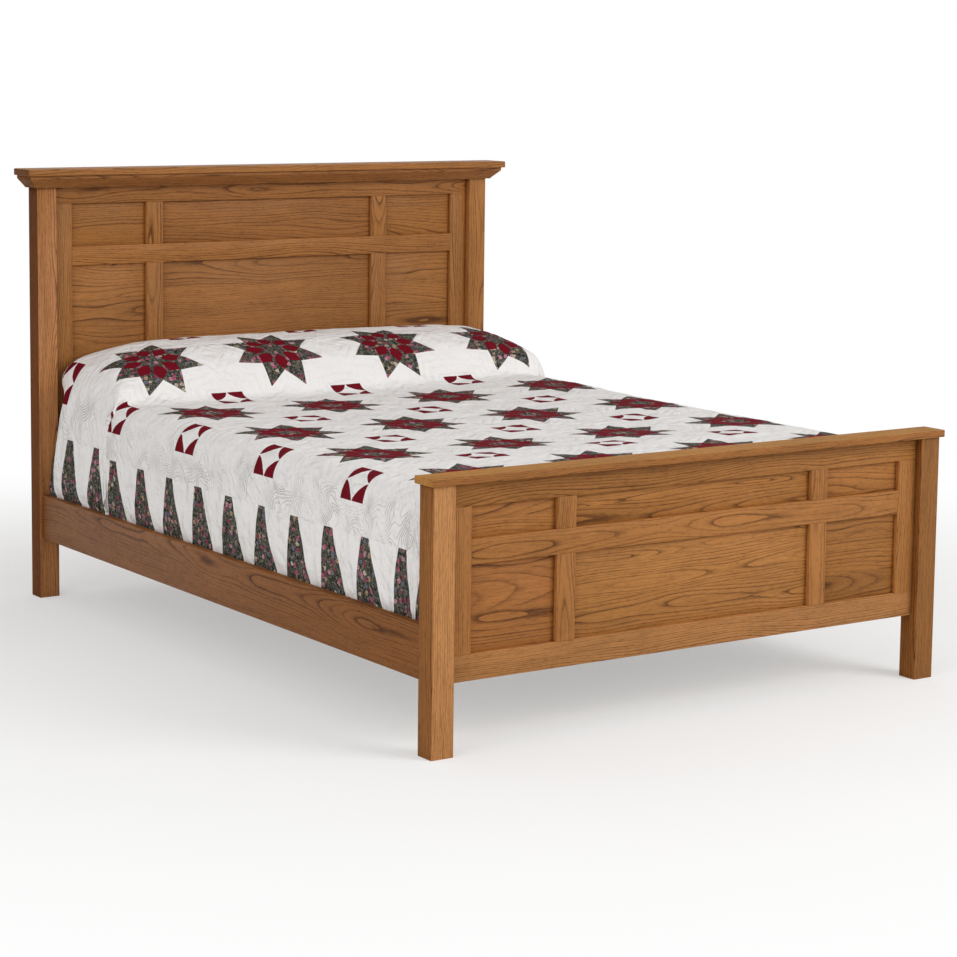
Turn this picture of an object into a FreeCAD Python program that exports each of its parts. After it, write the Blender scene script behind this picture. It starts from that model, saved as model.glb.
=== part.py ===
"""Queen-size oak panel bed, made up with its bedding.

Millimetres, +Z up. X runs across the bed and Y along it, with the headboard at +Y.
The origin lies on the floor under the middle of the whole bed's outline.
Each piece is one node. A pair written (low, high) is a span along one axis.
"""
import FreeCAD
import Part

import math
import os
from dataclasses import dataclass

Vector = FreeCAD.Vector

# ---------------------------------------------------------------- driving sizes
# Mattress set
MATTRESS_WIDTH = 1524.0
MATTRESS_LENGTH = 2032.0
MATTRESS_HEIGHT = 252.0
BOX_SPRING_HEIGHT = 130.0
BEDDING_CORNER = 84.0           # upright corner radius of mattress and box spring
BEDDING_EDGE = 12.0             # rounding of their firm edges
MATTRESS_SHOULDER = 80.0        # rounding of the mattress's soft top edge
SIDE_TUCK_ROOM = 12.0           # mattress side to side rail, where the quilt is tucked
FOOT_TUCK_ROOM = 14.0           # mattress end to footboard posts
HEAD_ROOM = 50.0                # mattress end to headboard posts

# Posts and side rails
POST_WIDTH = 63.0
POST_DEPTH = 60.0
POST_EASE = 2.0
SIDE_RAIL_THICKNESS = 22.0
SIDE_RAIL_HEIGHT = 133.0
SIDE_RAIL_BOTTOM = 181.0        # floor to the rail's lower edge
SIDE_RAIL_INSET = 9.0           # rail's outer face behind the posts' outer faces
SIDE_RAIL_EASE = 2.0

# Panel frames, alike in headboard and footboard
FRAME_THICKNESS = 32.0
FRAME_RECESS = 21.0             # frame face behind the posts' foot-end faces
FRAME_BOTTOM = 174.0            # floor to the bottom rail's lower edge
STILE_WIDTH = 60.0
MUNTIN_WIDTH = 56.0
OUTER_PANEL_WIDTH = 250.0       # visible width of the narrow panels
PANEL_THICKNESS = 6.0
GROOVE_DEPTH = 10.0
PANEL_PLAY = 2.0                # room for a panel to swell, at each free edge
TENON_THICKNESS = 10.0
TENON_LENGTH = 30.0
TENON_SHOULDER = 12.0
MORTISE_SPARE = 2.0

# Heights up each frame, from the bottom rail to the top rail
HEAD_BOTTOM_RAIL = 64.0
HEAD_LOWER_OPENING = 763.0
HEAD_MIDDLE_RAIL = 56.0
HEAD_UPPER_OPENING = 130.0
HEAD_TOP_RAIL = 87.0
FOOT_BOTTOM_RAIL = 64.0
FOOT_LOWER_OPENING = 216.0
FOOT_MIDDLE_RAIL = 62.0
FOOT_UPPER_OPENING = 79.0
FOOT_TOP_RAIL = 59.0

# Caps and crown moulding
HEAD_CAP_THICKNESS = 20.0
FOOT_CAP_THICKNESS = 19.0
FOOT_CAP_OVERHANG = 10.0
CAP_EASE = 3.0
CROWN_TO_CAP_EDGE = 10.0        # cap's edge beyond the crown's widest face
CROWN_FOOT = 12.5               # crown's lower edge, out from the posts
CROWN_SPREAD = 24.5             # how far the slope leans out
CROWN_HEIGHT = 37.0
CROWN_LOWER_LIP = 2.5
CROWN_UPPER_LIP = 9.5
DOWEL_RADIUS = 5.0
DOWEL_IN_CAP = 12.0
DOWEL_IN_FRAME = 28.0
DOWEL_SPACING = 500.0
DOWEL_FROM_SIDE = 18.0          # in the posts, clear of the rail tenons

# Ledgers, slats and centre legs
LEDGER_THICKNESS = 22.0
LEDGER_HEIGHT = 38.0
LEDGER_END_GAP = 20.0
SLAT_COUNT = 5
SLAT_WIDTH = 89.0
SLAT_THICKNESS = 19.0
SLAT_FROM_END = 116.0           # mattress end to the middle of the nearest slat
SLAT_END_GAP = 2.0
CENTRE_LEG_SIDE = 38.0
CENTRE_LEG_EASE = 3.0

# Rail hardware
PLATE_THICKNESS = 3.0
PLATE_WIDTH = 16.0
PLATE_HEIGHT = 112.0
HOOK_THICKNESS = 3.0
HOOK_NECK = 18.0                # height of the part that passes through the slot
HOOK_DROP = 10.0                # how far the hook hangs behind the slotted plate
LOWER_HOOK = 36.0               # lower neck's foot below the plate's middle
HOOK_SPACING = 40.0
HOOK_PLAY = 0.3
POCKET_WIDTH = 8.0
POCKET_SPARE = 1.0

# Wood screws
SCREW_RADIUS = 2.0
SCREW_HEAD_RADIUS = 4.0
SCREW_HEAD_DEPTH = 2.2
SCREW_SINK = 0.3                # heads lie this far below the surface
PLATE_SCREW_LENGTH = 25.0
PLATE_SCREW_RISE = 51.0
LEDGER_SCREW_LENGTH = 38.0
SLAT_SCREW_LENGTH = 38.0
LEG_SCREW_LENGTH = 50.0
LEG_SCREW_SPACING = 20.0

# Pillows
PILLOW_GAP = 10.0               # between the two pillows
PILLOW_FROM_SIDE = 57.0         # mattress side to the nearest pillow end
PILLOW_DEPTH = 372.0
PILLOW_HEIGHT = 150.0
PILLOW_HEAD_GAP = 12.0          # pillow to the headboard posts' face

# Quilt
QUILT_THICKNESS = 12.0
QUILT_SIDE_THICKNESS = 8.0      # pressed between mattress and rail
QUILT_SIDE_PLAY = 2.0           # quilt's inside to the mattress's side
QUILT_SHOULDER = 88.0           # radius over the long edges and the foot edge
QUILT_CORNER = 56.0             # upright radius at the foot corners
QUILT_CREASE_GAP = 20.0         # crease to the pillows' front
QUILT_HEAD_GAP = 2.0            # quilt's head end to the headboard posts' face
QUILT_TUCK = 52.0               # how far the quilt reaches below the rail's top
QUILT_HEAD_DROP = 110.0         # how far it falls behind the pillows
HUMP_RUN_OUT = 210.0            # the pillow hump sinks away over this much at each side
HUMP_ROUNDNESS = 3.5

# ---------------------------------------------------------------- derived places
BED_HALF = MATTRESS_WIDTH / 2 + SIDE_TUCK_ROOM + SIDE_RAIL_THICKNESS + SIDE_RAIL_INSET
POST_INNER = BED_HALF - POST_WIDTH
STILE_INNER = POST_INNER - STILE_WIDTH
MUNTIN_OUTER = STILE_INNER - OUTER_PANEL_WIDTH
MUNTIN_INNER = MUNTIN_OUTER - MUNTIN_WIDTH
RAIL_OUTER = BED_HALF - SIDE_RAIL_INSET
RAIL_INNER = RAIL_OUTER - SIDE_RAIL_THICKNESS
RAIL_MIDDLE = RAIL_OUTER - SIDE_RAIL_THICKNESS / 2
RAIL_TOP = SIDE_RAIL_BOTTOM + SIDE_RAIL_HEIGHT

SIDE_RAIL_LENGTH = MATTRESS_LENGTH + FOOT_TUCK_ROOM + HEAD_ROOM
OVERALL_LENGTH = SIDE_RAIL_LENGTH + 2 * POST_DEPTH + FOOT_CAP_OVERHANG
HEAD_BACK = OVERALL_LENGTH / 2
HEAD_FRONT = HEAD_BACK - POST_DEPTH
FOOT_BACK = HEAD_FRONT - SIDE_RAIL_LENGTH
FOOT_FRONT = FOOT_BACK - POST_DEPTH

LEDGER_TOP = SIDE_RAIL_BOTTOM + LEDGER_HEIGHT
SLAT_TOP = LEDGER_TOP + SLAT_THICKNESS
BOX_SPRING_TOP = SLAT_TOP + BOX_SPRING_HEIGHT
MATTRESS_TOP = BOX_SPRING_TOP + MATTRESS_HEIGHT
MATTRESS_FOOT = FOOT_BACK + FOOT_TUCK_ROOM
MATTRESS_HEAD = MATTRESS_FOOT + MATTRESS_LENGTH

PILLOW_WIDTH = (MATTRESS_WIDTH - PILLOW_GAP) / 2 - PILLOW_FROM_SIDE
CREASE = HEAD_FRONT - PILLOW_HEAD_GAP - PILLOW_DEPTH - QUILT_CREASE_GAP

CROWN_REACH = CROWN_FOOT + CROWN_SPREAD
HEAD_CAP_OVERHANG = CROWN_REACH + CROWN_TO_CAP_EDGE


# ---------------------------------------------------------------- small helpers
def span(one, other):
    """The two ends in rising order."""
    return (min(one, other), max(one, other))


def about(middle, size):
    """A span of the given size, centred."""
    return (middle - size / 2, middle + size / 2)


def block(x, y, z):
    """A box from three spans."""
    corner = Vector(x[0], y[0], z[0])
    return Part.makeBox(x[1] - x[0], y[1] - y[0], z[1] - z[0], corner)


def edges_along(shape, axis):
    """The straight edges of a shape that run along one axis."""
    found = []
    for edge in shape.Edges:
        direction = (edge.lastVertex().Point - edge.firstVertex().Point).normalize()
        if abs(direction.dot(axis)) > 0.999:
            found.append(edge)
    return found


X_AXIS = Vector(1, 0, 0)
Y_AXIS = Vector(0, 1, 0)
Z_AXIS = Vector(0, 0, 1)


def eased(shape, radius, *axes):
    """The shape with its edges along the given axes rounded."""
    edges = [edge for axis in axes for edge in edges_along(shape, axis)]
    return shape.makeFillet(radius, edges)


def joined(body, pieces):
    """One solid from a body and what is fused to it."""
    return body.multiFuse(pieces).removeSplitter() if pieces else body


def cleared(body, cutters):
    """The body with each cutter taken away."""
    return body.cut(Part.makeCompound(cutters)) if cutters else body


def prism(points, travel):
    """A solid from a closed outline of points, pushed along a vector."""
    outline = Part.makePolygon([Vector(*point) for point in points + points[:1]])
    return Part.Face(outline).extrude(travel)


def save(name, *solids):
    """Writes one node: a single solid, or a group of separate alike ones."""
    for solid in solids:
        if not solid.isValid() or len(solid.Solids) != 1:
            raise ValueError(f"{name}: not one sound solid")
    shape = solids[0].Solids[0] if len(solids) == 1 else Part.makeCompound(list(solids))
    shape.exportStep(f"parts/{name}.step")


# ---------------------------------------------------------------- panel frames
@dataclass(frozen=True)
class Board:
    """Headboard or footboard: where it stands and the heights up its frame."""

    name: str
    front: float
    bottom_rail: float
    lower_opening: float
    middle_rail: float
    upper_opening: float
    top_rail: float

    @property
    def levels(self):
        """Heights of every rail edge, from the frame's foot to its top."""
        heights = (self.bottom_rail, self.lower_opening, self.middle_rail,
                   self.upper_opening, self.top_rail)
        found = [FRAME_BOTTOM]
        for height in heights:
            found.append(found[-1] + height)
        return found

    @property
    def top(self):
        """Top of posts and frame, where the cap sits."""
        return self.levels[-1]

    @property
    def frame_y(self):
        """Span of the frame's thickness."""
        start = self.front + FRAME_RECESS
        return (start, start + FRAME_THICKNESS)

    @property
    def middle_y(self):
        """Middle of the frame's thickness."""
        return self.front + FRAME_RECESS + FRAME_THICKNESS / 2


HEADBOARD = Board("headboard", HEAD_FRONT, HEAD_BOTTOM_RAIL, HEAD_LOWER_OPENING,
                  HEAD_MIDDLE_RAIL, HEAD_UPPER_OPENING, HEAD_TOP_RAIL)
FOOTBOARD = Board("footboard", FOOT_FRONT, FOOT_BOTTOM_RAIL, FOOT_LOWER_OPENING,
                  FOOT_MIDDLE_RAIL, FOOT_UPPER_OPENING, FOOT_TOP_RAIL)
SIDES = (("left", -1), ("right", 1))


def frame_member(board, x, z, grooved, stubbed):
    """A stile, rail or muntin: grooved for panels, with stub tenons in such grooves.

    The letters L, R, T and B name the edges that are grooved or stubbed.
    """
    panel_y = about(board.middle_y, PANEL_THICKNESS)
    deep = GROOVE_DEPTH
    channels = {
        "L": ((x[0], x[0] + deep), z),
        "R": ((x[1] - deep, x[1]), z),
        "B": (x, (z[0], z[0] + deep)),
        "T": (x, (z[1] - deep, z[1])),
    }
    stub_x = (x[0] + deep * ("L" in grooved), x[1] - deep * ("R" in grooved))
    stub_z = (z[0] + deep * ("B" in grooved), z[1] - deep * ("T" in grooved))
    stubs = {
        "L": ((x[0] - deep, x[0]), stub_z),
        "R": ((x[1], x[1] + deep), stub_z),
        "B": (stub_x, (z[0] - deep, z[0])),
        "T": (stub_x, (z[1], z[1] + deep)),
    }
    body = block(x, board.frame_y, z)
    body = cleared(body, [block(channels[edge][0], panel_y, channels[edge][1])
                          for edge in grooved])
    return joined(body, [block(stubs[edge][0], panel_y, stubs[edge][1])
                         for edge in stubbed])


def tenon(board, side, z, spare=0.0):
    """A through rail's tenon, or with spare room the mortise that takes it."""
    tip = side * (POST_INNER + TENON_LENGTH + spare)
    return block(span(side * POST_INNER, tip), about(board.middle_y, TENON_THICKNESS), z)


def tongue(board, side, z):
    """The tongue that fills a post's groove."""
    tip = side * (POST_INNER + GROOVE_DEPTH)
    return block(span(side * POST_INNER, tip), about(board.middle_y, TENON_THICKNESS), z)


def tenon_heights(board):
    """Spans of the bottom and the top rail's tenons."""
    low, bottom_edge, top_edge, high = (board.levels[i] for i in (0, 1, 4, 5))
    return (low + TENON_SHOULDER, bottom_edge), (top_edge, high - TENON_SHOULDER)


def post(board, side, plate_pocket):
    """A post, grooved for the frame, with mortises and a pocket for rail hardware."""
    x = span(side * POST_INNER, side * BED_HALF)
    y = (board.front, board.front + POST_DEPTH)
    body = eased(block(x, y, (0.0, board.top)), POST_EASE, Z_AXIS)
    cuts = [tongue(board, side, (board.levels[0], board.top))]
    cuts += [tenon(board, side, z, MORTISE_SPARE) for z in tenon_heights(board)]
    return cleared(body, cuts + plate_pocket)


def through_rail(board, z, tenon_z, grooved, bores=()):
    """The top or bottom rail, which runs from post to post."""
    body = frame_member(board, (-POST_INNER, POST_INNER), z, grooved, "")
    ends = [piece for _, side in SIDES
            for piece in (tongue(board, side, z), tenon(board, side, tenon_z))]
    return cleared(joined(body, ends), list(bores))


def stile(board, side):
    """The upright beside a post, tongued into it."""
    x = span(side * STILE_INNER, side * POST_INNER)
    z = (board.levels[1], board.levels[4])
    inner_edge = "R" if side < 0 else "L"
    body = frame_member(board, x, z, inner_edge, "TB")
    return joined(body, [tongue(board, side, z)])


def panel(board, x, z):
    """A flat panel, free to swell sideways, standing in the groove below it."""
    reach = GROOVE_DEPTH - PANEL_PLAY
    panel_z = (z[0] - GROOVE_DEPTH, z[1] + GROOVE_DEPTH - 2 * PANEL_PLAY)
    return block((x[0] - reach, x[1] + reach), about(board.middle_y, PANEL_THICKNESS), panel_z)


def save_frame(board):
    """Every piece of one panel frame."""
    name = board.name
    bottom, bottom_edge, middle_low, middle_high, top_edge, top = board.levels
    bottom_tenon, top_tenon = tenon_heights(board)
    save(f"{name}_bottom_rail", through_rail(board, (bottom, bottom_edge), bottom_tenon, "T"))
    save(f"{name}_top_rail",
         through_rail(board, (top_edge, top), top_tenon, "B", dowels(board)))
    save(f"{name}_middle_rail",
         frame_member(board, (-STILE_INNER, STILE_INNER), (middle_low, middle_high), "TB", "LR"))
    rows = (("upper", (middle_high, top_edge)), ("lower", (bottom_edge, middle_low)))
    for hand, side in SIDES:
        save(f"{name}_{hand}_stile", stile(board, side))
        muntin_x = span(side * MUNTIN_INNER, side * MUNTIN_OUTER)
        panel_x = span(side * MUNTIN_OUTER, side * STILE_INNER)
        for row, z in rows:
            save(f"{name}_{row}_{hand}_muntin", frame_member(board, muntin_x, z, "LR", "TB"))
            save(f"{name}_{row}_{hand}_panel", panel(board, panel_x, z))
    for row, z in rows:
        save(f"{name}_{row}_centre_panel", panel(board, (-MUNTIN_INNER, MUNTIN_INNER), z))


# ---------------------------------------------------------------- caps and crown
def dowel_places(board):
    """Where dowels stand between a board and its cap: posts and top rail."""
    posts = [(side * (BED_HALF - DOWEL_FROM_SIDE), board.middle_y) for _, side in SIDES]
    return posts + [(step * DOWEL_SPACING, board.middle_y) for step in (-1, 0, 1)]


def dowels(board):
    """The dowels of one cap, each half in the board and half in the cap."""
    length = DOWEL_IN_FRAME + DOWEL_IN_CAP
    return [Part.makeCylinder(DOWEL_RADIUS, length, Vector(x, y, board.top - DOWEL_IN_FRAME))
            for x, y in dowel_places(board)]


def cap(board, overhang, back_overhang, thickness):
    """A flat board with eased edges that covers posts and frame."""
    x = (-BED_HALF - overhang, BED_HALF + overhang)
    y = (board.front - overhang, board.front + POST_DEPTH + back_overhang)
    body = eased(block(x, y, (board.top, board.top + thickness)), CAP_EASE,
                 X_AXIS, Y_AXIS, Z_AXIS)
    return cleared(body, dowels(board))


def crown_outline(top):
    """The crown's profile as (outward, height) points, from the posts' face."""
    foot = top - CROWN_HEIGHT
    return [(0.0, foot), (CROWN_FOOT, foot), (CROWN_FOOT, foot + CROWN_LOWER_LIP),
            (CROWN_REACH, top - CROWN_UPPER_LIP), (CROWN_REACH, top), (0.0, top)]


def crown_pieces(board):
    """Front length and two returns, mitred where they meet."""
    outline = crown_outline(board.top)
    wide = BED_HALF + CROWN_REACH
    ahead = board.front - CROWN_REACH
    back = board.front + POST_DEPTH
    run = prism([(-wide, board.front - out, z) for out, z in outline], Vector(2 * wide, 0, 0))
    keep = prism([(-BED_HALF, board.front, 0), (-wide, ahead, 0), (wide, ahead, 0),
                  (BED_HALF, board.front, 0)], Vector(0, 0, board.top))
    pieces = {"headboard_crown_front": run.common(keep)}
    for hand, side in SIDES:
        run = prism([(side * (BED_HALF + out), ahead, z) for out, z in outline],
                    Vector(0, back - ahead, 0))
        keep = prism([(side * BED_HALF, board.front, 0), (side * wide, ahead, 0),
                      (side * wide, back, 0), (side * BED_HALF, back, 0)],
                     Vector(0, 0, board.top))
        pieces[f"headboard_crown_{hand}_return"] = run.common(keep)
    return pieces


def crown_backer(board):
    """The strip that carries the crown where the frame is set back from the posts."""
    return block((-POST_INNER, POST_INNER), (board.front, board.frame_y[0]),
                 (board.top - CROWN_HEIGHT, board.top))


# ---------------------------------------------------------------- wood screws
@dataclass(frozen=True)
class Screw:
    """A countersunk wood screw, placed by the surface that it is driven through."""

    x: float
    y: float
    z: float
    way: tuple
    length: float

    def cylinder(self, radius, start, length):
        """A cylinder about the screw's axis."""
        way = Vector(*self.way)
        return Part.makeCylinder(radius, length, Vector(self.x, self.y, self.z) + way * start, way)

    def solid(self):
        """The screw, its head a little below the surface."""
        way = Vector(*self.way)
        head = Vector(self.x, self.y, self.z) + way * SCREW_SINK
        cone = Part.makeCone(SCREW_HEAD_RADIUS, SCREW_RADIUS, SCREW_HEAD_DEPTH, head, way)
        return joined(cone, [self.cylinder(SCREW_RADIUS, SCREW_SINK, self.length)])

    def hole(self):
        """The countersunk hole that it sits in."""
        return joined(self.solid(), [self.cylinder(SCREW_HEAD_RADIUS, 0, SCREW_SINK)])


def holes(screws):
    """The holes of several screws."""
    return [one.hole() for one in screws]


# ---------------------------------------------------------------- rail hardware
@dataclass(frozen=True)
class RailJoint:
    """One corner where a side rail hooks into a post."""

    side: int
    face: float                 # where the rail's end meets the post
    to_post: int                # +1 where the post lies towards +Y

    @property
    def x(self):
        """Middle of the rail's thickness."""
        return self.side * RAIL_MIDDLE

    @property
    def z(self):
        """Middle of the rail's height."""
        return SIDE_RAIL_BOTTOM + SIDE_RAIL_HEIGHT / 2

    def depth(self, start, end):
        """A span of Y from two distances into the post."""
        return span(self.face + self.to_post * start, self.face + self.to_post * end)

    def plate(self, start, end):
        """The outline of either plate between two depths."""
        return block(about(self.x, PLATE_WIDTH), self.depth(start, end),
                     about(self.z, PLATE_HEIGHT))

    def hook_feet(self):
        """Height of each neck's lower edge."""
        return (self.z - LOWER_HOOK, self.z - LOWER_HOOK + HOOK_SPACING)

    def screws(self, sense):
        """The two screws of a plate: sense +1 into the post, -1 into the rail."""
        return [Screw(self.x, self.face, self.z + rise, (0, self.to_post * sense, 0),
                      PLATE_SCREW_LENGTH)
                for rise in (-PLATE_SCREW_RISE, PLATE_SCREW_RISE)]

    def hook_plate(self):
        """The rail's plate, with two hooks that drop behind the slotted plate."""
        behind = PLATE_THICKNESS + HOOK_PLAY
        tip = behind + HOOK_THICKNESS
        hooks = []
        for foot in self.hook_feet():
            neck = (foot, foot + HOOK_NECK)
            tail = (foot - HOOK_DROP, foot + HOOK_NECK)
            hooks.append(block(about(self.x, HOOK_THICKNESS), self.depth(0, behind), neck))
            hooks.append(block(about(self.x, HOOK_THICKNESS), self.depth(behind, tip), tail))
        plate = joined(self.plate(-PLATE_THICKNESS, 0), hooks)
        return cleared(plate, holes(self.screws(-1)))

    def slot_plate(self):
        """The post's plate, with a slot tall enough to take each hook."""
        slots = []
        for foot in self.hook_feet():
            tall = (foot, foot + HOOK_NECK + HOOK_DROP + 2 * HOOK_PLAY)
            wide = about(self.x, HOOK_THICKNESS + 2 * HOOK_PLAY)
            slots.append(block(wide, self.depth(0, PLATE_THICKNESS), tall))
        return cleared(self.plate(0, PLATE_THICKNESS), slots + holes(self.screws(1)))

    def post_pocket(self):
        """What is cut from the post: plate, hook room and screw holes."""
        low, high = self.hook_feet()
        deep = PLATE_THICKNESS + HOOK_PLAY + HOOK_THICKNESS + POCKET_SPARE
        lift = HOOK_DROP + POCKET_SPARE
        room = block(about(self.x, POCKET_WIDTH), self.depth(0, deep),
                     (low - lift, high + HOOK_NECK + lift))
        return [self.plate(0, PLATE_THICKNESS), room] + holes(self.screws(1))

    def rail_pocket(self):
        """What is cut from the rail's end: plate and screw holes."""
        return [self.plate(-PLATE_THICKNESS, 0)] + holes(self.screws(-1))


FOOT_JOINTS = {side: RailJoint(side, FOOT_BACK, -1) for _, side in SIDES}
HEAD_JOINTS = {side: RailJoint(side, HEAD_FRONT, 1) for _, side in SIDES}
RAIL_JOINTS = list(FOOT_JOINTS.values()) + list(HEAD_JOINTS.values())


# ---------------------------------------------------------------- bed base
SLAT_SPACING = (MATTRESS_LENGTH - 2 * SLAT_FROM_END) / (SLAT_COUNT - 1)
SLAT_PLACES = [MATTRESS_FOOT + SLAT_FROM_END + SLAT_SPACING * i for i in range(SLAT_COUNT)]
LEG_PLACES = SLAT_PLACES[1:-1]
LEDGER_SCREW_PLACES = [y + SLAT_SPACING / 2 for y in SLAT_PLACES[:-1]]


def ledger_screws(side):
    """Screws that hold a ledger to its rail, midway between slats."""
    face = side * (RAIL_INNER - LEDGER_THICKNESS)
    height = SIDE_RAIL_BOTTOM + LEDGER_HEIGHT / 2
    return [Screw(face, y, height, (side, 0, 0), LEDGER_SCREW_LENGTH)
            for y in LEDGER_SCREW_PLACES]


def slat_screws(y):
    """The two screws that hold a slat down on the ledgers."""
    x = RAIL_INNER - LEDGER_THICKNESS / 2
    return [Screw(side * x, y, SLAT_TOP, (0, 0, -1), SLAT_SCREW_LENGTH) for _, side in SIDES]


def leg_screws(y):
    """The two screws that hold a slat to its centre leg."""
    return [Screw(x, y, SLAT_TOP, (0, 0, -1), LEG_SCREW_LENGTH)
            for x in about(0.0, LEG_SCREW_SPACING)]


def side_rail(side):
    """A side rail with its ends let in for the hook plates."""
    body = block(span(side * RAIL_INNER, side * RAIL_OUTER), (FOOT_BACK, HEAD_FRONT),
                 (SIDE_RAIL_BOTTOM, RAIL_TOP))
    body = eased(body, SIDE_RAIL_EASE, Y_AXIS)
    pockets = FOOT_JOINTS[side].rail_pocket() + HEAD_JOINTS[side].rail_pocket()
    return cleared(body, pockets + holes(ledger_screws(side)))


def ledger(side):
    """The strip along a side rail that the slats lie on."""
    body = block(span(side * (RAIL_INNER - LEDGER_THICKNESS), side * RAIL_INNER),
                 (FOOT_BACK + LEDGER_END_GAP, HEAD_FRONT - LEDGER_END_GAP),
                 (SIDE_RAIL_BOTTOM, LEDGER_TOP))
    screws = [one for y in SLAT_PLACES for one in slat_screws(y)] + ledger_screws(side)
    return cleared(body, holes(screws))


def slat(y):
    """One cross slat."""
    half = RAIL_INNER - SLAT_END_GAP
    body = block((-half, half), about(y, SLAT_WIDTH), (LEDGER_TOP, SLAT_TOP))
    screws = slat_screws(y) + (leg_screws(y) if y in LEG_PLACES else [])
    return cleared(body, holes(screws))


def centre_leg(y):
    """A square leg from the floor to the underside of its slat."""
    side = about(0.0, CENTRE_LEG_SIDE)
    body = block(side, about(y, CENTRE_LEG_SIDE), (0.0, LEDGER_TOP))
    return cleared(eased(body, CENTRE_LEG_EASE, Z_AXIS), holes(leg_screws(y)))


# ---------------------------------------------------------------- bedding
def rim(body, height):
    """The level edges of a body at one height."""
    return [edge for edge in body.Edges
            if max(abs(edge.BoundBox.ZMin - height), abs(edge.BoundBox.ZMax - height)) < 1e-4]


def padded_block(z, top_edge):
    """A mattress or box spring: a block with soft corners and edges."""
    body = block(about(0.0, MATTRESS_WIDTH), (MATTRESS_FOOT, MATTRESS_HEAD), z)
    body = eased(body, BEDDING_CORNER, Z_AXIS)
    body = body.makeFillet(top_edge, rim(body, z[1]))
    return body.makeFillet(BEDDING_EDGE, rim(body, z[0]))


def pillow_section(x, middle, fullness, depth):
    """A pillow's outline across its width at one X: flat below, crowned above."""
    back = HEAD_FRONT - PILLOW_HEAD_GAP - (PILLOW_DEPTH - depth) / 2
    front = back - depth
    rise = PILLOW_HEIGHT * fullness
    base = MATTRESS_TOP

    def at(forward, height):
        return Vector(x + middle, front + forward * depth, base + height * rise)

    start, shoulder = at(0.05, 0.0), at(0.12, 0.76)
    rear, end = at(0.93, 0.80), at(0.96, 0.0)
    return Part.Wire([
        Part.Arc(start, at(0.0, 0.36), shoulder).toShape(),
        Part.Arc(shoulder, at(0.48, 1.0), rear).toShape(),
        Part.Arc(rear, at(1.0, 0.42), end).toShape(),
        Part.LineSegment(end, start).toShape(),
    ])


# Along a pillow: place as a share of its half width, fullness, share of its depth
PILLOW_STATIONS = ((1.0, 0.40, 0.84), (0.985, 0.58, 0.90), (0.95, 0.74, 0.94),
                   (0.88, 0.88, 0.97), (0.76, 0.96, 0.99), (0.5, 1.0, 1.0), (0.0, 1.0, 1.0))


def pillow(side):
    """A plump pillow, drawn in at both ends."""
    middle = side * (PILLOW_GAP + PILLOW_WIDTH) / 2
    half = PILLOW_WIDTH / 2
    ends = [(-place, full, deep) for place, full, deep in PILLOW_STATIONS]
    stations = ends + list(reversed(PILLOW_STATIONS[:-1]))
    wires = [pillow_section(place * half, middle, full, deep * PILLOW_DEPTH)
             for place, full, deep in stations]
    return Part.makeLoft(wires, True, True)


def falling(distance, radius):
    """How far a rounded edge has dropped this far past the start of its curve."""
    run = min(max(distance, 0.0), radius)
    return radius - math.sqrt(radius * radius - run * run)


@dataclass(frozen=True)
class MadeBed:
    """The form of the made bed, outside or inside the quilt."""

    half: float                 # widest X
    foot: float                 # Y of the foot face
    head: float                 # Y of the head end
    top: float                  # height over the mattress
    bottom: float               # lowest edge
    shoulder: float             # radius over the long edges and the foot edge
    crease: float               # Y where the flat top meets the pillow hump

    def section(self, x):
        """The outline along the bed at one X."""
        out = abs(x)
        face = self.foot + falling(out - (self.half - QUILT_CORNER), QUILT_CORNER)
        level = self.top - falling(out - (self.half - self.shoulder), self.shoulder)
        sunk = max(out - (self.half - HUMP_RUN_OUT), 0.0) / HUMP_RUN_OUT
        rise = PILLOW_HEIGHT * (1.0 - sunk ** HUMP_ROUNDNESS) + 1.0
        depth = self.head - self.crease

        def at(forward, height):
            return Vector(x, self.crease + forward * depth, level + height * rise)

        bend = self.shoulder * (1.0 - math.sqrt(0.5))
        low_foot = Vector(x, face, self.bottom)
        high_foot = Vector(x, face, level - self.shoulder)
        over = Vector(x, face + bend, level - bend)
        on_top = Vector(x, face + self.shoulder, level)
        fold, front = at(0.0, 0.0), at(0.13, 0.80)
        rear, end = at(0.93, 0.82), at(1.0, 0.40)
        low_head = Vector(x, self.head, self.bottom)
        return Part.Wire([
            Part.LineSegment(low_foot, high_foot).toShape(),
            Part.Arc(high_foot, over, on_top).toShape(),
            Part.LineSegment(on_top, fold).toShape(),
            Part.Arc(fold, at(0.02, 0.45), front).toShape(),
            Part.Arc(front, at(0.48, 1.04), rear).toShape(),
            Part.Arc(rear, at(0.985, 0.66), end).toShape(),
            Part.LineSegment(end, low_head).toShape(),
            Part.LineSegment(low_head, low_foot).toShape(),
        ])

    def solid(self):
        """The form as one solid, from sections that crowd towards both sides."""
        insets = [share * self.shoulder for share in SHOULDER_SHARES]
        insets += [(self.shoulder + HUMP_RUN_OUT) / 2, HUMP_RUN_OUT]
        edges = [self.half - inset for inset in insets]
        stations = [-x for x in edges] + [0.0] + list(reversed(edges))
        return Part.makeLoft([self.section(x) for x in stations], True, True)


# Where sections are drawn across the rounded shoulder, as shares of its radius
SHOULDER_SHARES = (0.0, 0.06, 0.2, 0.42, 0.7, 1.0)


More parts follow.
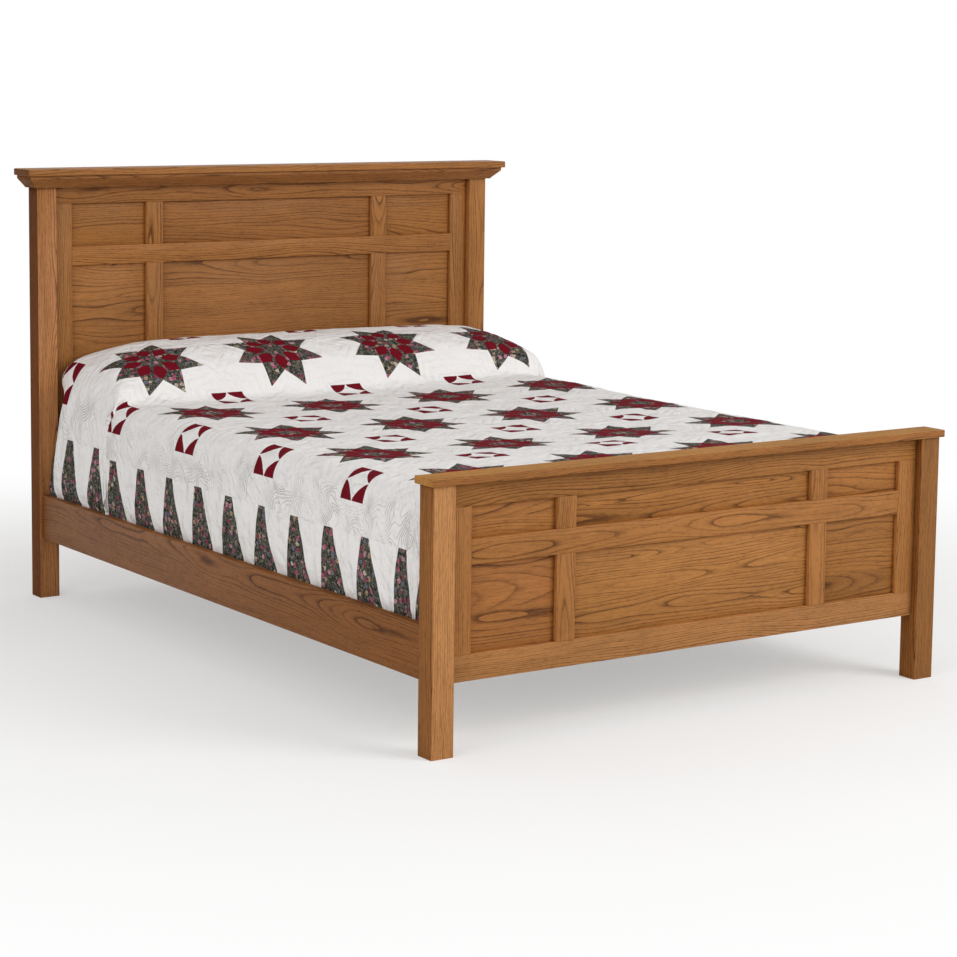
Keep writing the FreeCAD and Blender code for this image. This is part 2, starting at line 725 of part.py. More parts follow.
def quilt():
    """The quilt: over mattress and pillows, tucked in at both sides and the foot."""
    inner_half = MATTRESS_WIDTH / 2 + QUILT_SIDE_PLAY
    head = HEAD_FRONT - QUILT_HEAD_GAP
    bottom = RAIL_TOP - QUILT_TUCK
    outer = MadeBed(inner_half + QUILT_SIDE_THICKNESS, MATTRESS_FOOT - QUILT_THICKNESS, head,
                    MATTRESS_TOP + QUILT_THICKNESS, bottom, QUILT_SHOULDER, CREASE)
    inner = MadeBed(inner_half, MATTRESS_FOOT, head - QUILT_SIDE_THICKNESS,
                    MATTRESS_TOP, bottom - QUILT_TUCK, QUILT_SHOULDER - QUILT_THICKNESS,
                    CREASE + QUILT_THICKNESS)
    head_end = block(about(0.0, 2 * outer.half), about(head, 4 * QUILT_SIDE_THICKNESS),
                     (bottom, MATTRESS_TOP + PILLOW_HEIGHT - QUILT_HEAD_DROP))
    return cleared(outer.solid(), [inner.solid(), head_end]).removeSplitter()


# ---------------------------------------------------------------- the whole bed
def save_boards():
    """Both panel boards with their posts, caps and the headboard's crown."""
    for board, joints in ((HEADBOARD, HEAD_JOINTS), (FOOTBOARD, FOOT_JOINTS)):
        for hand, side in SIDES:
            pocket = joints[side].post_pocket() + dowels(board)
            save(f"{board.name}_{hand}_post", post(board, side, pocket))
        save_frame(board)
    save("headboard_cap", cap(HEADBOARD, HEAD_CAP_OVERHANG, 0.0, HEAD_CAP_THICKNESS))
    save("footboard_cap",
         cap(FOOTBOARD, FOOT_CAP_OVERHANG, FOOT_CAP_OVERHANG, FOOT_CAP_THICKNESS))
    for name, piece in crown_pieces(HEADBOARD).items():
        save(name, piece)
    save("headboard_crown_backer", crown_backer(HEADBOARD))
    save("cap_dowels", *dowels(HEADBOARD), *dowels(FOOTBOARD))


def save_base():
    """Side rails with their hardware, ledgers, slats and centre legs."""
    for hand, side in SIDES:
        save(f"{hand}_side_rail", side_rail(side))
        save(f"{hand}_slat_ledger", ledger(side))
    for number, y in enumerate(SLAT_PLACES, start=1):
        save(f"slat_{number}", slat(y))
    save("centre_support_legs", *[centre_leg(y) for y in LEG_PLACES])
    save("rail_hook_plates", *[joint.hook_plate() for joint in RAIL_JOINTS])
    save("post_slot_plates", *[joint.slot_plate() for joint in RAIL_JOINTS])
    plate_screws = [one for joint in RAIL_JOINTS for sense in (1, -1)
                    for one in joint.screws(sense)]
    base_screws = [one for _, side in SIDES for one in ledger_screws(side)]
    base_screws += [one for y in SLAT_PLACES for one in slat_screws(y)]
    base_screws += [one for y in LEG_PLACES for one in leg_screws(y)]
    save("plate_screws", *[one.solid() for one in plate_screws])
    save("slat_base_screws", *[one.solid() for one in base_screws])


def save_bedding():
    """Box spring, mattress, pillows and quilt."""
    save("box_spring", padded_block((SLAT_TOP, BOX_SPRING_TOP), BEDDING_EDGE))
    save("mattress", padded_block((BOX_SPRING_TOP, MATTRESS_TOP), MATTRESS_SHOULDER))
    for hand, side in SIDES:
        save(f"{hand}_pillow", pillow(side))
    save("quilt", quilt())


def main():
    """Builds every piece and writes each to its own file."""
    os.makedirs("parts", exist_ok=True)
    save_boards()
    save_base()
    save_bedding()


main()
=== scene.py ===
"""Dresses an oak panel bed, made up with a patchwork quilt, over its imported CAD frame.

Lengths are in metres on the frame's own axes: X across the bed, Y from foot to head, Z up.
"""
import logging
import math
import random
from dataclasses import dataclass
from enum import Enum
from functools import cache, reduce
from typing import Any, Iterable

import bmesh
import bpy
import numpy as np
from mathutils import Matrix, Vector


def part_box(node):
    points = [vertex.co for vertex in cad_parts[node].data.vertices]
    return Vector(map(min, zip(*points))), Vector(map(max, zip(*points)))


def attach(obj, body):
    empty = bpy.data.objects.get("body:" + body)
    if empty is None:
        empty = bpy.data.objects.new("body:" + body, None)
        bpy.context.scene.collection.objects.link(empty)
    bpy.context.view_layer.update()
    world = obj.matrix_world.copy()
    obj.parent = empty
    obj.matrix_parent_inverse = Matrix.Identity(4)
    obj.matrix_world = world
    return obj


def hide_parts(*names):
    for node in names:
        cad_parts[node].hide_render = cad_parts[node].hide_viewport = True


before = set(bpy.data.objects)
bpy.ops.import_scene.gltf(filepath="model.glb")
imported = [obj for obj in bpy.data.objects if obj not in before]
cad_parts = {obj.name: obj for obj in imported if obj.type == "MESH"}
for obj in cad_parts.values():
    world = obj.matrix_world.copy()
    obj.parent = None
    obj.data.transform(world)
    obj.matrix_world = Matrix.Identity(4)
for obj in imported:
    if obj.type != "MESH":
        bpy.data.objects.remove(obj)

LOG = logging.getLogger("panel_bed")
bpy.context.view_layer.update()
Colour = tuple[float, float, float, float]
Tint = tuple[float, float, float]
Socket = bpy.types.NodeSocket


def rgb(red: float, green: float, blue: float) -> Colour:
    """Linear red, green and blue as an opaque colour."""
    return (red, green, blue, 1.0)


def grey(level: float) -> Colour:
    """An opaque colour of three equal parts."""
    return rgb(level, level, level)


# ---------------------------------------------------------------- node benches


class Value:
    """A number, vector or colour that nodes work out, which takes plain arithmetic."""

    def __init__(self, bench: "Bench", socket: Socket) -> None:
        """Takes the bench that further nodes go on and the socket that holds the value."""
        self.bench, self.socket = bench, socket

    def math(self, operation: str, *others: Any, clamp: bool = False) -> "Value":
        """One Math node on this value and others, kept between 0 and 1 if clamped."""
        return self.bench.get("Math", dict(enumerate((self, *others))), operation=operation, use_clamp=clamp)

    def __add__(self, other: Any) -> "Value":
        """The sum."""
        return self.math("ADD", other)

    def __sub__(self, other: Any) -> "Value":
        """The difference."""
        return self.math("SUBTRACT", other)

    def __rsub__(self, other: Any) -> "Value":
        """A plain number less this value."""
        return self.bench.get("Math", {0: other, 1: self}, operation="SUBTRACT")

    def __mul__(self, other: Any) -> "Value":
        """The product."""
        return self.math("MULTIPLY", other)

    def __abs__(self) -> "Value":
        """The size without its sign."""
        return self.math("ABSOLUTE")

    def wrap(self, half: float) -> "Value":
        """The value's place in a pitch of two halves round 0."""
        return self.math("WRAP", half, -half)

    def span(self, low: Any, high: Any, start: float = 0.0, end: float = 1.0) -> "Value":
        """Eases from start, where the value is at low, to end, at high."""
        feeds = {0: self, 1: low, 2: high, 3: start, 4: end}
        return self.bench.get("MapRange", feeds, interpolation_type="SMOOTHSTEP")

    def split(self) -> list["Value"]:
        """The three numbers of a vector."""
        return [Value(self.bench, part) for part in self.bench.put("SeparateXYZ", {0: self}).outputs]

    def stretch(self, x: float, y: float, z: float) -> "Value":
        """Scales a vector, axis by axis."""
        return self.bench.get("VectorMath", {0: self, 1: (x, y, z)}, operation="MULTIPLY")

    def noise(self, scale: float = 1.0, detail: float = 2.0, rough: float = 0.5, out: int = 0) -> "Value":
        """Noise at this place: a value near 0.5 on average, or a vector where out is 1."""
        feeds = {"Vector": self, "Scale": scale, "Detail": detail, "Roughness": rough}
        return self.bench.get("TexNoise", feeds, out)

    def luck(self) -> "Value":
        """A number from 0 to 1 that this one picks."""
        return self.bench.get("TexWhiteNoise", {1: self}, noise_dimensions="1D")

    def wander(self, scale: float, reach: float) -> "Value":
        """This place, pushed about in its plane by noise."""
        feeds = {0: self.noise(scale, out=1), 1: (reach, reach, 0.0), 2: self}
        return self.bench.get("VectorMath", feeds, operation="MULTIPLY_ADD")


class Bench:
    """Puts nodes into one tree by short calls."""

    def __init__(self, tree: bpy.types.NodeTree) -> None:
        """Takes the tree that the nodes go into."""
        self.tree = tree

    def feed(self, socket: Socket, value: Any) -> None:
        """Gives a socket a link or a plain value.

        Args:
            socket: the input to feed.
            value: a worked-out value, or a number, vector or colour.
        """
        if isinstance(value, Value):
            self.tree.links.new(value.socket, socket)
        else:
            socket.default_value = value

    def put(self, kind: str, feeds: dict[Any, Any] | None = None, **settings: Any) -> bpy.types.Node:
        """Adds one node.

        Args:
            kind: the node's type, without its ShaderNode prefix.
            feeds: what each input gets, by name or index.
            settings: the node's own choices.

        Returns:
            The new node.
        """
        node = self.tree.nodes.new(kind if kind.startswith("Node") else "ShaderNode" + kind)
        for name, value in settings.items():
            setattr(node, name, value)
        for name, value in (feeds or {}).items():
            self.feed(node.inputs[name], value)
        return node

    def get(self, kind: str, feeds: dict[Any, Any] | None = None, out: int | str = 0, **settings: Any) -> Value:
        """Adds one node as put does, and gives one of its outputs, by name or index."""
        return Value(self, self.put(kind, feeds, **settings).outputs[out])

    def most(self, *values: Value) -> Value:
        """The largest of some values."""
        return reduce(lambda best, other: best.math("MAXIMUM", other), values)

    def mix(self, share: Any, first: Any, second: Any, blend: str = "MIX") -> Value:
        """Mixes two colours by a share from 0 to 1."""
        return self.get("Mix", {0: share, 6: first, 7: second}, 2, data_type="RGBA", blend_type=blend)

    def mix_number(self, share: Any, first: Any, second: Any) -> Value:
        """Mixes two numbers by a share from 0 to 1."""
        return self.get("Mix", {0: share, 2: first, 3: second}, data_type="FLOAT")

    def shaded(self, colour: Any, shade: Value, tint: Tint = (1.0, 1.0, 1.0)) -> Value:
        """A colour times a shade and a tint."""
        return self.mix(1.0, colour, self.join(*(shade * part for part in tint)), "MULTIPLY")

    def ramp(self, value: Value, stops: Iterable[tuple[float, Colour]], held: bool = False) -> Value:
        """Reads a colour from a ramp.

        Args:
            value: where on the ramp.
            stops: each stop's place and colour.
            held: whether each colour holds until the next stop.

        Returns:
            The colour.
        """
        node = self.put("ValToRGB", {0: value})
        strip = node.color_ramp
        strip.interpolation = "CONSTANT" if held else "LINEAR"
        for index, (place, colour) in enumerate(stops):
            stop = strip.elements[index] if index < 2 else strip.elements.new(place)
            stop.position, stop.color = place, colour
        return Value(self, node.outputs[0])

    def join(self, x: Any, y: Any, z: Any = 0.0) -> Value:
        """A vector of three numbers."""
        return self.get("CombineXYZ", {0: x, 1: y, 2: z})

    def bump(self, height: Any, distance: float, **base: Value) -> Value:
        """A normal from a height, distance metres deep, over a base Normal if one is given."""
        return self.get("Bump", {"Height": height, "Distance": distance, **base})

    def place(self, effect: "Effect", **feeds: Any) -> dict[str, Value]:
        """Places a shared effect.

        Args:
            effect: the effect.
            feeds: what each of its inputs gets.

        Returns:
            Its outputs, by name.
        """
        node = self.put("Group", node_tree=effect.tree)
        for name, value in feeds.items():
            self.feed(node.inputs[name], value)
        return {socket.name: Value(self, socket) for socket in node.outputs}


class Effect:
    """A shader node group that finishes share."""

    def __init__(self, name: str, takes: dict[str, str], gives: dict[str, str]) -> None:
        """Makes the group's tree and sockets.

        Args:
            name: the group's name.
            takes: each input's kind.
            gives: each output's kind.
        """
        self.tree = bpy.data.node_groups.new(name, "ShaderNodeTree")
        for way, sockets in (("INPUT", takes), ("OUTPUT", gives)):
            for label, kind in sockets.items():
                self.tree.interface.new_socket(label, in_out=way, socket_type="NodeSocket" + kind)
        self.bench = Bench(self.tree)
        group_input = self.bench.put("NodeGroupInput")
        self.takes = {label: Value(self.bench, group_input.outputs[label]) for label in takes}
        self.gives = self.bench.put("NodeGroupOutput").inputs

    def give(self, **values: Any) -> "Effect":
        """Sends values out of the group.

        Args:
            values: what each output gets.

        Returns:
            The effect itself.
        """
        for name, value in values.items():
            self.bench.feed(self.gives[name], value)
        return self


@cache
def wood_grain() -> Effect:
    """Flat-sawn grain round an X axis: growth rings, fine fibres and short pores.

    Returns:
        An effect of Point, Light, Dark, Rings, per metre, and Pores that gives Colour, Rough and Height.
    """
    made = Effect("wood_grain",
                  {"Point": "Vector", "Light": "Color", "Dark": "Color", "Rings": "Float", "Pores": "Float"},
                  {"Colour": "Color", "Rough": "Float", "Height": "Float"})
    b, take = made.bench, made.takes
    point, pores = take["Point"], take["Pores"]
    _, across, through = point.split()
    _, bend_across, bend_through = point.stretch(1.9, 3.4, 3.4).noise(1.0, 1.6, 0.4, out=1).split()
    across += bend_across * 0.055
    through += bend_through * 0.060
    quiver = point.stretch(10.0, 65.0, 65.0).noise() * 0.0014
    radius = (across * across + through * through).math("SQRT") + quiver
    uneven = b.get("TexNoise", {"W": radius, "Scale": 42.0, "Detail": 1.0}, noise_dimensions="1D")
    count = uneven * 1.6 + radius * take["Rings"]
    ring = ((0.0, 0.9), (0.06, 1.0), (0.17, 0.50), (0.34, 0.14), (0.70, 0.0), (0.97, 0.12))
    early = b.ramp(count.math("FRACT"), [(place, grey(level)) for place, level in ring])
    early = early * count.math("FLOOR").luck().span(0.0, 1.0, 0.40, 1.0)
    fibre = point.stretch(7.0, 300.0, 300.0).noise(1.0, 3.0, 0.65)
    patch = point.stretch(1.3, 11.0, 11.0).noise()
    thread = point.stretch(10.0, 110.0, 110.0).noise()
    fleck = point.stretch(48.0, 430.0, 430.0).noise(1.0, 1.0).span(0.52, 0.66)
    pore = point.stretch(75.0, 1150.0, 1150.0).noise(1.0, 1.0).span(0.56, 0.70)
    lined = thread.span(0.35, 0.7) * 0.16 + early * 0.88 + fibre.span(0.3, 0.75) * 0.24
    share = (patch * 0.5 + fleck * pores * 0.34 + lined).math("SUBTRACT", 0.34, clamp=True)
    open_pore = pore * (early * 0.75 + 0.25)
    deep = b.mix(0.5, take["Dark"], rgb(0.03, 0.012, 0.006))
    return made.give(Colour=b.mix(open_pore * pores, b.mix(share, take["Light"], take["Dark"]), deep),
                     Rough=share * 0.10 + open_pore * 0.2 + 0.42, Height=fibre * 0.25 - open_pore)


@cache
def handling() -> Effect:
    """Faint rubbing and dust over a piece, for its roughness and tone.

    Returns:
        An effect of Point that gives Tone and Rough.
    """
    made = Effect("handling", {"Point": "Vector"}, {"Tone": "Float", "Rough": "Float"})
    cloud = made.takes["Point"].noise(3.2, 4.0, 0.6)
    smear = made.takes["Point"].noise(38.0, 3.0, 0.65)
    return made.give(Tone=cloud.span(0.25, 0.75, 0.93, 1.06), Rough=smear.span(0.35, 0.7) * 0.09 + cloud * 0.06)


@cache
def plain_weave() -> Effect:
    """Threads crossing over and under each other.

    Returns:
        An effect of Cloth and Threads, per metre, that gives Height and Shade, a painted shade that is darker where the
        threads lie low.
    """
    made = Effect("plain_weave", {"Cloth": "Vector", "Threads": "Float"}, {"Height": "Float", "Shade": "Float"})
    cloth = made.takes["Cloth"]
    counted = made.bench.get("VectorMath", {0: cloth, "Scale": made.takes["Threads"]}, operation="SCALE")
    warp, weft = ((axis * math.pi).math("SINE") for axis in counted.split()[:2])
    height = warp * weft * 0.35 + cloth.stretch(60.0, 700.0, 1.0).noise()
    return made.give(Height=height, Shade=height.span(0.0, 1.0, 0.96, 1.03))


@cache
def calico_print() -> Effect:
    """Small crowded blossoms and leaves on a charcoal-green ground.

    Returns:
        An effect of Cloth that gives Colour.
    """
    made = Effect("calico_print", {"Cloth": "Vector"}, {"Colour": "Color"})
    b = made.bench
    drawn = made.takes["Cloth"].wander(120.0, 0.016)
    ground = b.mix(drawn.noise(85.0).span(0.38, 0.62), rgb(0.017, 0.017, 0.015), rgb(0.074, 0.071, 0.058))
    scroll = abs(drawn.noise(75.0, 1.0) - 0.5)
    colour = b.mix(scroll.span(0.008, 0.022, 0.55, 0.0), ground, rgb(0.30, 0.28, 0.22))
    leaves = ((0.0, (0.13, 0.14, 0.09)), (0.3, (0.28, 0.22, 0.15)), (0.5, (0.06, 0.09, 0.08)),
              (0.66, (0.40, 0.34, 0.27)), (0.82, (0.16, 0.17, 0.22)))
    blossoms = ((0.0, (0.44, 0.10, 0.18)), (0.24, (0.54, 0.45, 0.36)), (0.38, (0.26, 0.045, 0.09)),
                (0.55, (0.14, 0.16, 0.22)), (0.66, (0.38, 0.26, 0.17)), (0.80, (0.52, 0.24, 0.31)))
    for per_metre, near, rare, hues in ((150.0, 0.24, 0.55, leaves), (52.0, 0.26, 0.45, blossoms)):
        cells = b.put("TexVoronoi", {"Vector": drawn, "Scale": per_metre, "Randomness": 0.9},
                      voronoi_dimensions="2D").outputs
        away, (pick, luck, _) = Value(b, cells[0]), Value(b, cells[1]).split()
        hue = b.ramp(pick, [(place, rgb(*parts)) for place, parts in hues], held=True)
        petals = away.span(near, near + 0.10, 1.0, 0.0) * luck.math("GREATER_THAN", rare)
        heart = away.span(0.08, 0.16, 1.0, 0.0)
        colour = b.mix(petals, colour, b.mix(heart, hue, b.mix(0.7, hue, rgb(0.08, 0.05, 0.03))))
    return made.give(Colour=colour)


class Lattice(Enum):
    """How the two block rows repeat over the quilt: the places of their first middles, in metres."""

    STARS = (0.243, -0.040)
    SQUARES = (0.026, 0.188)


BLOCK_WIDTH, BLOCK_LENGTH = 0.410, 0.437
QUILT_CENTRE = 0.038
SEAM = 0.0008


def inside(distance: Value) -> Value:
    """A mask that is 1 where a signed distance is below 0, with a seam's soft edge."""
    return distance.span(-SEAM, SEAM, 1.0, 0.0)


@cache
def star_blocks() -> Effect:
    """Eight-pointed print stars with a ring of eight crimson kites, in a square lattice.

    Returns:
        An effect of Cloth that gives Print and Crimson masks and Edge, the distance to the star's outline.
    """
    made = Effect("star_blocks", {"Cloth": "Vector"}, {"Print": "Float", "Crimson": "Float", "Edge": "Float"})
    b = made.bench
    s, t, _ = made.takes["Cloth"].split()
    reach, notch, waist, shoulder, hub = 0.158, 0.096, 0.072, 0.048, 0.030
    waist_turn, shoulder_turn, notch_turn = 3.0, 3.5, 22.5
    crease_from, crease_to, foot_row = 0.45, 0.62, -1.13
    drawn_in = t.span(crease_from, crease_to, 1.0, 0.0) * (s * 0.0245 + 0.0127)
    x = (s + drawn_in - Lattice.STARS.value[0]).wrap(BLOCK_WIDTH / 2)
    y = (t - Lattice.STARS.value[1]).wrap(BLOCK_LENGTH / 2)
    radius = (x * x + y * y).math("SQRT")
    turn = math.pi / 8 - y.math("ARCTAN2", x).math("PINGPONG", math.pi / 8)
    along, off = radius * turn.math("COSINE"), radius * turn.math("SINE")

    def beyond(start: tuple[float, float], end: tuple[float, float]) -> Value:
        """How far past a line, on its right, each place lies.

        Args:
            start: the line's first corner, as a length and an angle in degrees.
            end: its last corner.

        Returns:
            The distance.
        """
        first, last = (Vector((size * math.cos(math.radians(angle)), size * math.sin(math.radians(angle))))
                       for size, angle in (start, end))
        run = (last - first).normalized()
        right = Vector((run.y, -run.x))
        return along * right.x + off * right.y - right.dot(first)

    tip, dent, middle = (reach, 0.0), (notch, notch_turn), (hub, notch_turn)
    wide, narrow = (waist, waist_turn), (shoulder, shoulder_turn)
    edge = beyond(tip, dent)
    kite = b.most(beyond(wide, dent), beyond(narrow, wide), beyond(middle, narrow))
    kite += t.span(crease_from, crease_to, -0.0027, 0.0012)
    allowed = abs(s - QUILT_CENTRE).math("LESS_THAN", 2 * BLOCK_WIDTH) * t.math("GREATER_THAN", foot_row)
    star = inside(edge) * allowed
    return made.give(Crimson=inside(kite) * star, Print=star, Edge=edge)


@cache
def square_blocks() -> Effect:
    """Small squares of four crimson corners round a white diamond with hollow sides.

    Returns:
        An effect of Cloth that gives a Crimson mask.
    """
    made = Effect("square_blocks", {"Cloth": "Vector"}, {"Crimson": "Float"})
    s, t, _ = made.takes["Cloth"].split()
    half, hollow, foot_row = 0.052, 1.4, -0.78
    out = abs(s - Lattice.SQUARES.value[0])
    out += out.span(0.60, 0.66, 0.0, 0.031)
    x = abs(out.wrap(BLOCK_WIDTH / 2))
    y = abs((t - Lattice.SQUARES.value[1]).wrap(BLOCK_LENGTH / 2))
    inward = [side.math("MULTIPLY_ADD", -1.0 / half, 1.0, clamp=True).math("POWER", hollow) for side in (x, y)]
    corner = (inward[0] + inward[1]).span(0.95, 0.98, 1.0, 0.0)
    near = abs(s - QUILT_CENTRE).math("LESS_THAN", 2 * BLOCK_WIDTH + 0.08) * t.math("GREATER_THAN", foot_row)
    return made.give(Crimson=inside(x.math("MAXIMUM", y) - half) * corner * near)


@cache
def wedge_border() -> Effect:
    """Print wedges that widen towards the quilt's edge, with white between them.

    Returns:
        An effect of Cloth that gives a Print mask, Run, the place along the border, and Depth, that across it.
    """
    made = Effect("wedge_border", {"Cloth": "Vector"}, {"Print": "Float", "Run": "Float", "Depth": "Float"})
    b = made.bench
    s, t, _ = made.takes["Cloth"].split()
    side_start, foot_start = 0.932, -1.165
    side_depth, foot_depth = abs(s - QUILT_CENTRE) - side_start, foot_start - t
    sides = ((side_depth, t, 0.094, 0.08565, 0.05), (foot_depth, s, QUILT_CENTRE, 0.0874, 0.0))
    masks = []
    for depth, run, first, half_pitch, lean in sides:
        across = abs((run - first + depth * lean).wrap(half_pitch))
        masks.append(inside((across - (depth * 0.25 + 0.0185)).math("MAXIMUM", depth * -1.0)))
    return made.give(Print=b.most(*masks), Depth=b.most(side_depth, foot_depth),
                     Run=b.mix_number(foot_depth.math("GREATER_THAN", side_depth), t, s))


@cache
def quilted_relief() -> Effect:
    """Stitched lines that hold the wadding down: echoes round the stars and a band of curling ridges.

    Returns:
        An effect of Cloth that gives Height.
    """
    made = Effect("quilted_relief", {"Cloth": "Vector"}, {"Height": "Float"})
    b, cloth = made.bench, made.takes["Cloth"]

    def welt(value: Value, pitch: float) -> Value:
        """Puffed bands between stitched lines, pitch apart."""
        return abs((value * (math.pi / pitch)).math("SINE")).math("POWER", 0.6)

    hand = cloth.wander(9.0, 0.022)
    star, wedge = b.place(star_blocks(), Cloth=hand), b.place(wedge_border(), Cloth=cloth)
    s, t, _ = hand.split()
    band_middle = 0.884
    side = abs(s - QUILT_CENTRE) - band_middle
    echoes = welt(star["Edge"], 0.026) * 0.6
    curls = welt(cloth.noise(14.0, 0.6) * 0.15 + (side - t) * 0.62, 0.0125) * 0.85
    curled = side.span(-0.10, -0.05) * side.span(0.040, 0.05, 1.0, 0.0)
    past = wedge["Depth"].span(-0.004, 0.004)
    pleats = b.join(wedge["Run"] * 38.0, wedge["Depth"] * 6.0).noise() * 5.0
    lines = pleats * past + b.mix_number(curled, echoes, curls) * (1.0 - past)
    worn = cloth.noise(7.0).span(0.35, 0.65, 0.15, 0.60)
    out = abs(s)
    drag = b.join((out - t) * 7.5, (out + t) * 40.0).noise(1.0, 2.0, 0.55)
    hanging = out.span(0.70, 0.80).math("MAXIMUM", t.span(-1.08, -0.98, 1.0, 0.0))
    dragged = drag * (hanging * (past * -0.8 + 1.0) * 1.5 + 0.35)
    soft = cloth.noise(12.0) * 2.6 + cloth.stretch(40.0, 26.0, 1.0).noise(1.0, 3.0) * 1.1
    return made.give(Height=lines * worn + soft + dragged)


# ------------------------------------------------------------------- finishes


def fresh_bench(owner: Any) -> Bench:
    """Empties a node tree.

    Args:
        owner: the material or world that has the tree.

    Returns:
        A bench on it.
    """
    owner.use_nodes = True
    owner.node_tree.nodes.clear()
    return Bench(owner.node_tree)


def new_finish(name: str) -> tuple[bpy.types.Material, Bench]:
    """Starts a material, and gives it with a bench on its tree."""
    material = bpy.data.materials.new(name)
    return material, fresh_bench(material)


def principled(bench: Bench, values: dict[str, Any]) -> None:
    """Ends a finish in a Principled shader with the named sockets fed."""
    bench.put("OutputMaterial", {0: bench.get("BsdfPrincipled", values)})


class Grain(Enum):
    """Which of a piece's own axes run along the grain, across its face and through it."""

    UPRIGHT = "ZXY"
    ACROSS = "XZY"
    ACROSS_FLAT = "XYZ"
    ALONG = "YZX"
    ALONG_FLAT = "YXZ"


@dataclass(frozen=True)
class Wood:
    """A timber and its coat: two tones of grain, ring and pore strength, gloss."""

    name: str
    light: Colour
    dark: Colour
    rings: float = 190.0
    pores: float = 0.75
    coat: float = 0.05
    rough: float = 0.0
    bump: float = 0.00018

    def material(self, piece: str, grain: Grain, middle: Vector, reach: float = 0.0, strips: float = 0.0,
                 tint: Tint = (1.0, 1.0, 1.0), edge: Tint = (1.0, 1.0, 1.0)) -> bpy.types.Material:
        """Makes this wood for one piece, cut from its own place in a log.

        Args:
            piece: the piece's name, which also sets the cut.
            grain: how the grain lies.
            middle: the piece's middle.
            reach: how far from the log's middle line the face is cut, sideways.
            strips: the width of glued strips across the face, or 0.
            tint: how light the board is beside its neighbours: its own tone, and on some boards painted light and
                shade.
            edge: how light its edges are beside its face: a painted highlight with rubbed stain by default, painted
                shade on some boards.

        Returns:
            The material.
        """
        material, b = new_finish(f"{self.name}_{piece}")
        draw = random.Random(piece)
        point = b.get("TexCoord", out="Object")
        axes = dict(zip("XYZ", b.get("VectorMath", {0: point, 1: middle}, operation="SUBTRACT").split()))
        along, across, through = (axes[letter] for letter in grain.value)
        shade: Any = 1.0
        if strips:
            place = (across + draw.uniform(0.0, strips)).math("DIVIDE", strips)
            strip = place.math("FLOOR")
            luck = (strip + draw.uniform(0, 90)).luck()
            along += luck * 7.0
            across = (place - strip) * strips + luck * 0.17 - 0.132
            shade = luck * 0.16 + 0.92
        tilt = draw.choice((-1, 1)) * draw.uniform(0.004, 0.022)
        cut = b.get("Mapping", {
            "Vector": b.join(along, across, through),
            "Location": (draw.uniform(-9, 9), draw.choice((-1, 1)) * reach + draw.uniform(-0.012, 0.012),
                         draw.uniform(0.018, 0.050)),
            "Rotation": (0.0, tilt, draw.uniform(-0.01, 0.01)),
        })
        grained = b.place(wood_grain(), Point=cut, Light=self.light, Dark=self.dark, Rings=self.rings,
                          Pores=self.pores)
        worn = b.place(handling(), Point=point)
        colour = b.shaded(grained["Colour"], worn["Tone"] * shade, tint)
        # Marked side faces take the edge colour, a painted highlight with rubbed stain on most boards and painted shade
        # on some; they also lose the coat and are rougher.
        on_edge = b.get("Attribute", out="Fac", attribute_name="edge_face")
        principled(b, {"Base Color": b.mix(on_edge, colour, b.mix(1.0, colour, rgb(*edge), "MULTIPLY")),
                       "Roughness": grained["Rough"] + worn["Rough"] + self.rough + on_edge * 0.2,
                       "Coat Weight": b.mix_number(on_edge, self.coat, 0.0), "Coat Roughness": 0.35,
                       "Specular IOR Level": 0.12, "Normal": b.bump(grained["Height"], self.bump)})
        return material


OAK = Wood("oak", rgb(0.362, 0.150, 0.040), rgb(0.098, 0.033, 0.007), rings=225.0)
OAK_PANEL = Wood("oak_panel", rgb(0.352, 0.143, 0.036), rgb(0.105, 0.036, 0.008), rings=180.0)
SOFTWOOD = Wood("softwood", rgb(0.72, 0.52, 0.30), rgb(0.50, 0.30, 0.14), rings=150.0, pores=0.1, coat=0.0,
                rough=0.22)
DOWEL = Wood("dowel", rgb(0.64, 0.44, 0.25), rgb(0.45, 0.27, 0.13), pores=0.2, coat=0.0, rough=0.2)


@dataclass(frozen=True)
class ZincSteel:
    """Pressed steel with a bright zinc coat."""

    name: str = "zinc_steel"

    def material(self) -> bpy.types.Material:
        """Makes the finish.

        Returns:
            The material.
        """
        material, b = new_finish(self.name)
        point = b.get("TexCoord", out="Object")
        worn = b.place(handling(), Point=point.stretch(9.0, 9.0, 9.0))
        flakes = b.get("TexVoronoi", {"Vector": point, "Scale": 420.0}, 1).split()[0]
        principled(b, {"Base Color": b.mix(flakes, rgb(0.50, 0.50, 0.48), rgb(0.64, 0.64, 0.62)),
                       "Metallic": 1.0, "Roughness": worn["Rough"] + 0.26,
                       "Normal": b.bump(point.noise(900.0), 0.00004)})
        return material


@dataclass(frozen=True)
class Ticking:
    """Striped cotton ticking, woven tight."""

    name: str
    ground: Colour
    stripe: Colour
    pitch: float

    def material(self) -> bpy.types.Material:
        """Makes the finish.

        Returns:
            The material.
        """
        material, b = new_finish(self.name)
        point = b.get("TexCoord", out="Object")
        x, y, z = point.split()
        band = abs(x.math("DIVIDE", self.pitch).math("FRACT") - 0.5)
        wide = band.span(0.10, 0.12, 1.0, 0.0)
        thin = band.span(0.2, 0.21) * band.span(0.23, 0.24, 1.0, 0.0)
        woven = b.place(plain_weave(), Cloth=b.join(x + z, y + z), Threads=1100.0)
        striped = b.mix(b.most(wide, thin), self.ground, self.stripe)
        principled(b, {"Base Color": b.shaded(striped, woven["Shade"]), "Roughness": 0.86, "Sheen Weight": 0.15,
                       "Normal": b.bump(woven["Height"] + point.noise(24.0), 0.0006)})
        return material


